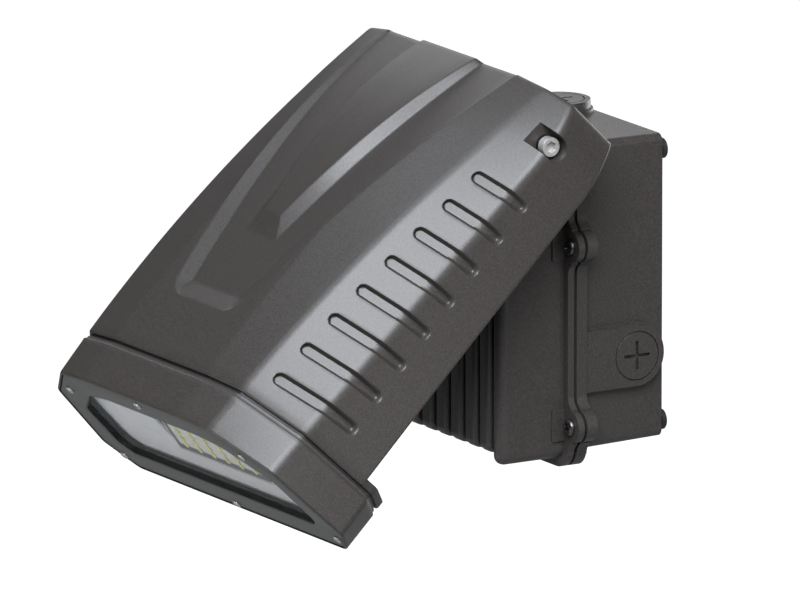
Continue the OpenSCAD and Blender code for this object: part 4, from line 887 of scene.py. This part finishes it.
def on_board(x, out, up):
    """Row-frame metres of a point on the leaning lamp board: across, out of its face and up from its foot."""
    s = HEAD_LEN - BOARD_SINK + out * cos(BOARD_LEAN) - up * sin(BOARD_LEAN)
    return on_head((x, s, BOARD_FOOT_N + out * sin(BOARD_LEAN) + up * cos(BOARD_LEAN)))


def direction(start, end):
    return (end - start) / np.linalg.norm(end - start)


cover_places = np.array([(x, COVER_Y, z) for x in (-COVER_X, COVER_X) for z in COVER_Z]) * MM
pan = pan_screw("pan", *COVER_PAN)
pans = repeated("cover_pan_screws", pan, cover_places, (0, -1, 0), DARK_ZINC, pi, COVER_SEED)
finish_piece(pans, "cover_screws", DARK_ZINC)

frame_places = on_head([(x, FRAME_FACE_S, n) for x, n in FRAME_PLACES])
ahead = direction(on_head((0, 0, 0)), on_head((0, 1, 0)))
pan = pan_screw("small_pan", *FRAME_PAN)
pans = repeated("frame_pan_screws", pan, frame_places, ahead, STAINLESS, pi, FRAME_SEED)
finish_piece(pans, "frame_screws", STAINLESS)

lamp_places = [on_board((i - (LAMP_COLUMNS - 1) / 2) * COLUMN_PITCH, 0, FIRST_ROW + j * ROW_PITCH)
               for i in range(LAMP_COLUMNS) for j in range(LAMP_ROWS)]
ahead = direction(on_board(0, 0, 0), on_board(0, 1, 0))
lamps = repeated("lamps", turned("lamp", LAMP_PROFILE, 4), lamp_places, ahead, PHOSPHOR, 0, LAMP_SEED)
finish_piece(lamps, "leds", PHOSPHOR)

# Dark grey band on the board, as half width, lower and upper edge and corner radius, and its two heights over the
# board
BORDER_OUTER, BORDER_INNER, BAND_HEIGHTS = (43.6, 0.8, 51.2, 1.5), (40.1, 4.3, 47.7, 1.5), (0.01, 0.12)
# Seal lip around the window: its width, and its heights over the glass
LIP_W, LIP_HEIGHTS = 0.4, (0.05, 3.0)


def plate_piece(name, outer, inner, place, heights, body, material):
    """Flat ring between two outlines, raised between two heights over the plane of place(x, height, up)."""
    low, high = heights
    piece = loft(name, np.array([[place(x, h, z) for x, z in outer] for h in heights]))
    through = (low - TOOL_PAST, high + TOOL_PAST)
    cut(piece, loft("hole", np.array([[place(x, h, z) for x, z in inner] for h in through])))
    shade(piece.data)
    dress(piece, material)
    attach(piece, body)


def rounded_rect(x, z0, z1, r, steps=6):
    """Half-width x, from z0 to z1, corners of radius r, clockwise from the lower left."""
    points = []
    centres = ((-x + r, z0 + r), (-x + r, z1 - r), (x - r, z1 - r), (x - r, z0 + r))
    for quarter, (cx, cz) in enumerate(centres, 1):
        angles = -quarter * pi / 2 - np.linspace(0, pi / 2, steps)
        points += [(cx + r * cos(a), cz + r * sin(a)) for a in angles]
    return np.array(points)


def on_glass(x, height, n):
    return on_head((x, GLASS_BACK_S + GLASS_T + height, n))


plate_piece("board_border_print", rounded_rect(*BORDER_OUTER), rounded_rect(*BORDER_INNER), on_board, BAND_HEIGHTS,
            BODY_OF["led_board"], BOARD_BAND_GREY)
plate_piece("window_seal_lip", window_outline(), grown(window_outline(), -LIP_W), on_glass, LIP_HEIGHTS,
            BODY_OF["lens_gasket"], RUBBER)

# Stage, in metres: floor, its grey to the lamps and its glow to the camera, and the dim world around
FLOOR_HALF, FLOOR_DROP, FLOOR_GREY, FLOOR_ROUGHNESS, FLOOR_GLOW = 30, 0.6, "#8e8e8e", 0.9, 0.96
WHITE, WORLD_DIM, WORLD_SEEN = (1, 1, 1, 1), 0.06, 1.0


def seen(tree):
    """1 to rays that show the background itself, from the camera or through glass, and 0 to all others."""
    path = add(tree, "ShaderNodeLightPath")
    links = {0: path.outputs["Is Camera Ray"], 1: path.outputs["Is Transmission Ray"]}
    return add(tree, "ShaderNodeMath", links, operation="MAXIMUM").outputs[0]


def make_floor():
    """Pale floor well below the lamp, clear from its underside."""
    mesh = bpy.data.meshes.new("floor")
    r = FLOOR_HALF
    mesh.from_pydata([(-r, -r, 0), (r, -r, 0), (r, r, 0), (-r, r, 0)], [], [(0, 1, 2, 3)])
    mesh.transform(Matrix.Translation((0, 0, cad_low[2] - FLOOR_DROP)))
    floor = new_piece("floor", mesh)
    material, tree, shader = surface("pale_floor", Roughness=FLOOR_ROUGHNESS)
    shader.inputs["Base Color"].default_value = srgb(FLOOR_GREY)
    glow = add(tree, "ShaderNodeMath", {0: seen(tree), 1: FLOOR_GLOW}, operation="MULTIPLY")
    shader.inputs["Emission Color"].default_value = WHITE
    tree.links.new(glow.outputs[0], shader.inputs["Emission Strength"])
    side = add(tree, "ShaderNodeNewGeometry")
    clear = add(tree, "ShaderNodeBsdfTransparent")
    mixed = add(tree, "ShaderNodeMixShader", {
        0: side.outputs["Backfacing"], 1: shader.outputs["BSDF"], 2: clear.outputs["BSDF"]})
    tree.links.new(mixed.outputs[0], tree.nodes["Material Output"].inputs["Surface"])
    dress(floor, material)


def make_world():
    """White where it is seen, and dim to everything else, so that the dark coat stays dark."""
    world = bpy.data.worlds.new("studio")
    bpy.context.scene.world = world
    world.use_nodes = True
    tree = world.node_tree
    back = tree.nodes["Background"]
    level = add(tree, "ShaderNodeMapRange", {"Value": seen(tree), "To Min": WORLD_DIM, "To Max": WORLD_SEEN})
    tree.links.new(level.outputs["Result"], back.inputs["Strength"])
    back.inputs["Color"].default_value = WHITE


def softbox(name, towards, distance, size, power, colour, aim=(cad_low + cad_high) / 2):
    """Square area lamp that looks at a place on the object from a direction."""
    data = bpy.data.lights.new(name, "AREA")
    data.shape = "SQUARE"
    data.size = size
    data.energy = power
    data.color = colour
    lamp = bpy.data.objects.new(name, data)
    away = Vector(towards).normalized()
    lamp.location = Vector(aim) + away * distance
    lamp.rotation_mode = "QUATERNION"
    lamp.rotation_quaternion = away.to_track_quat("Z", "Y")
    bpy.context.scene.collection.objects.link(lamp)


# Lamps of the studio, as direction, distance, size, power and colour; the last one looks into the window
NEUTRAL = (1.0, 1.0, 1.0)
STUDIO, CLOSE = 2.5, 0.35
WINDOW_MIDDLE_N = -20
make_floor()
make_world()
softbox("key_light", (0.6, -0.4, 0.695), STUDIO, 1.6, 164, (0.9, 0.94, 1.0))
softbox("overhead_light", (-0.15, -0.42, 0.9), STUDIO, 1.2, 24, (0.82, 0.9, 1.0))
softbox("rear_light", (-0.78, 0.35, 0.52), STUDIO, 1.2, 12, (0.96, 0.96, 1.0))
softbox("side_light", (0.94, 0.3, 0.16), STUDIO, 1.4, 8, (1.0, 0.97, 0.94))
softbox("back_light", (-0.25, 0.96, 0.02), STUDIO, 1.6, 40, NEUTRAL)
softbox("window_light", (-0.1, -0.95, -0.3), CLOSE, 0.3, 0.65, NEUTRAL, aim=on_head((0, HEAD_LEN, WINDOW_MIDDLE_N)))

bpy.context.scene.view_settings.view_transform = "Standard"
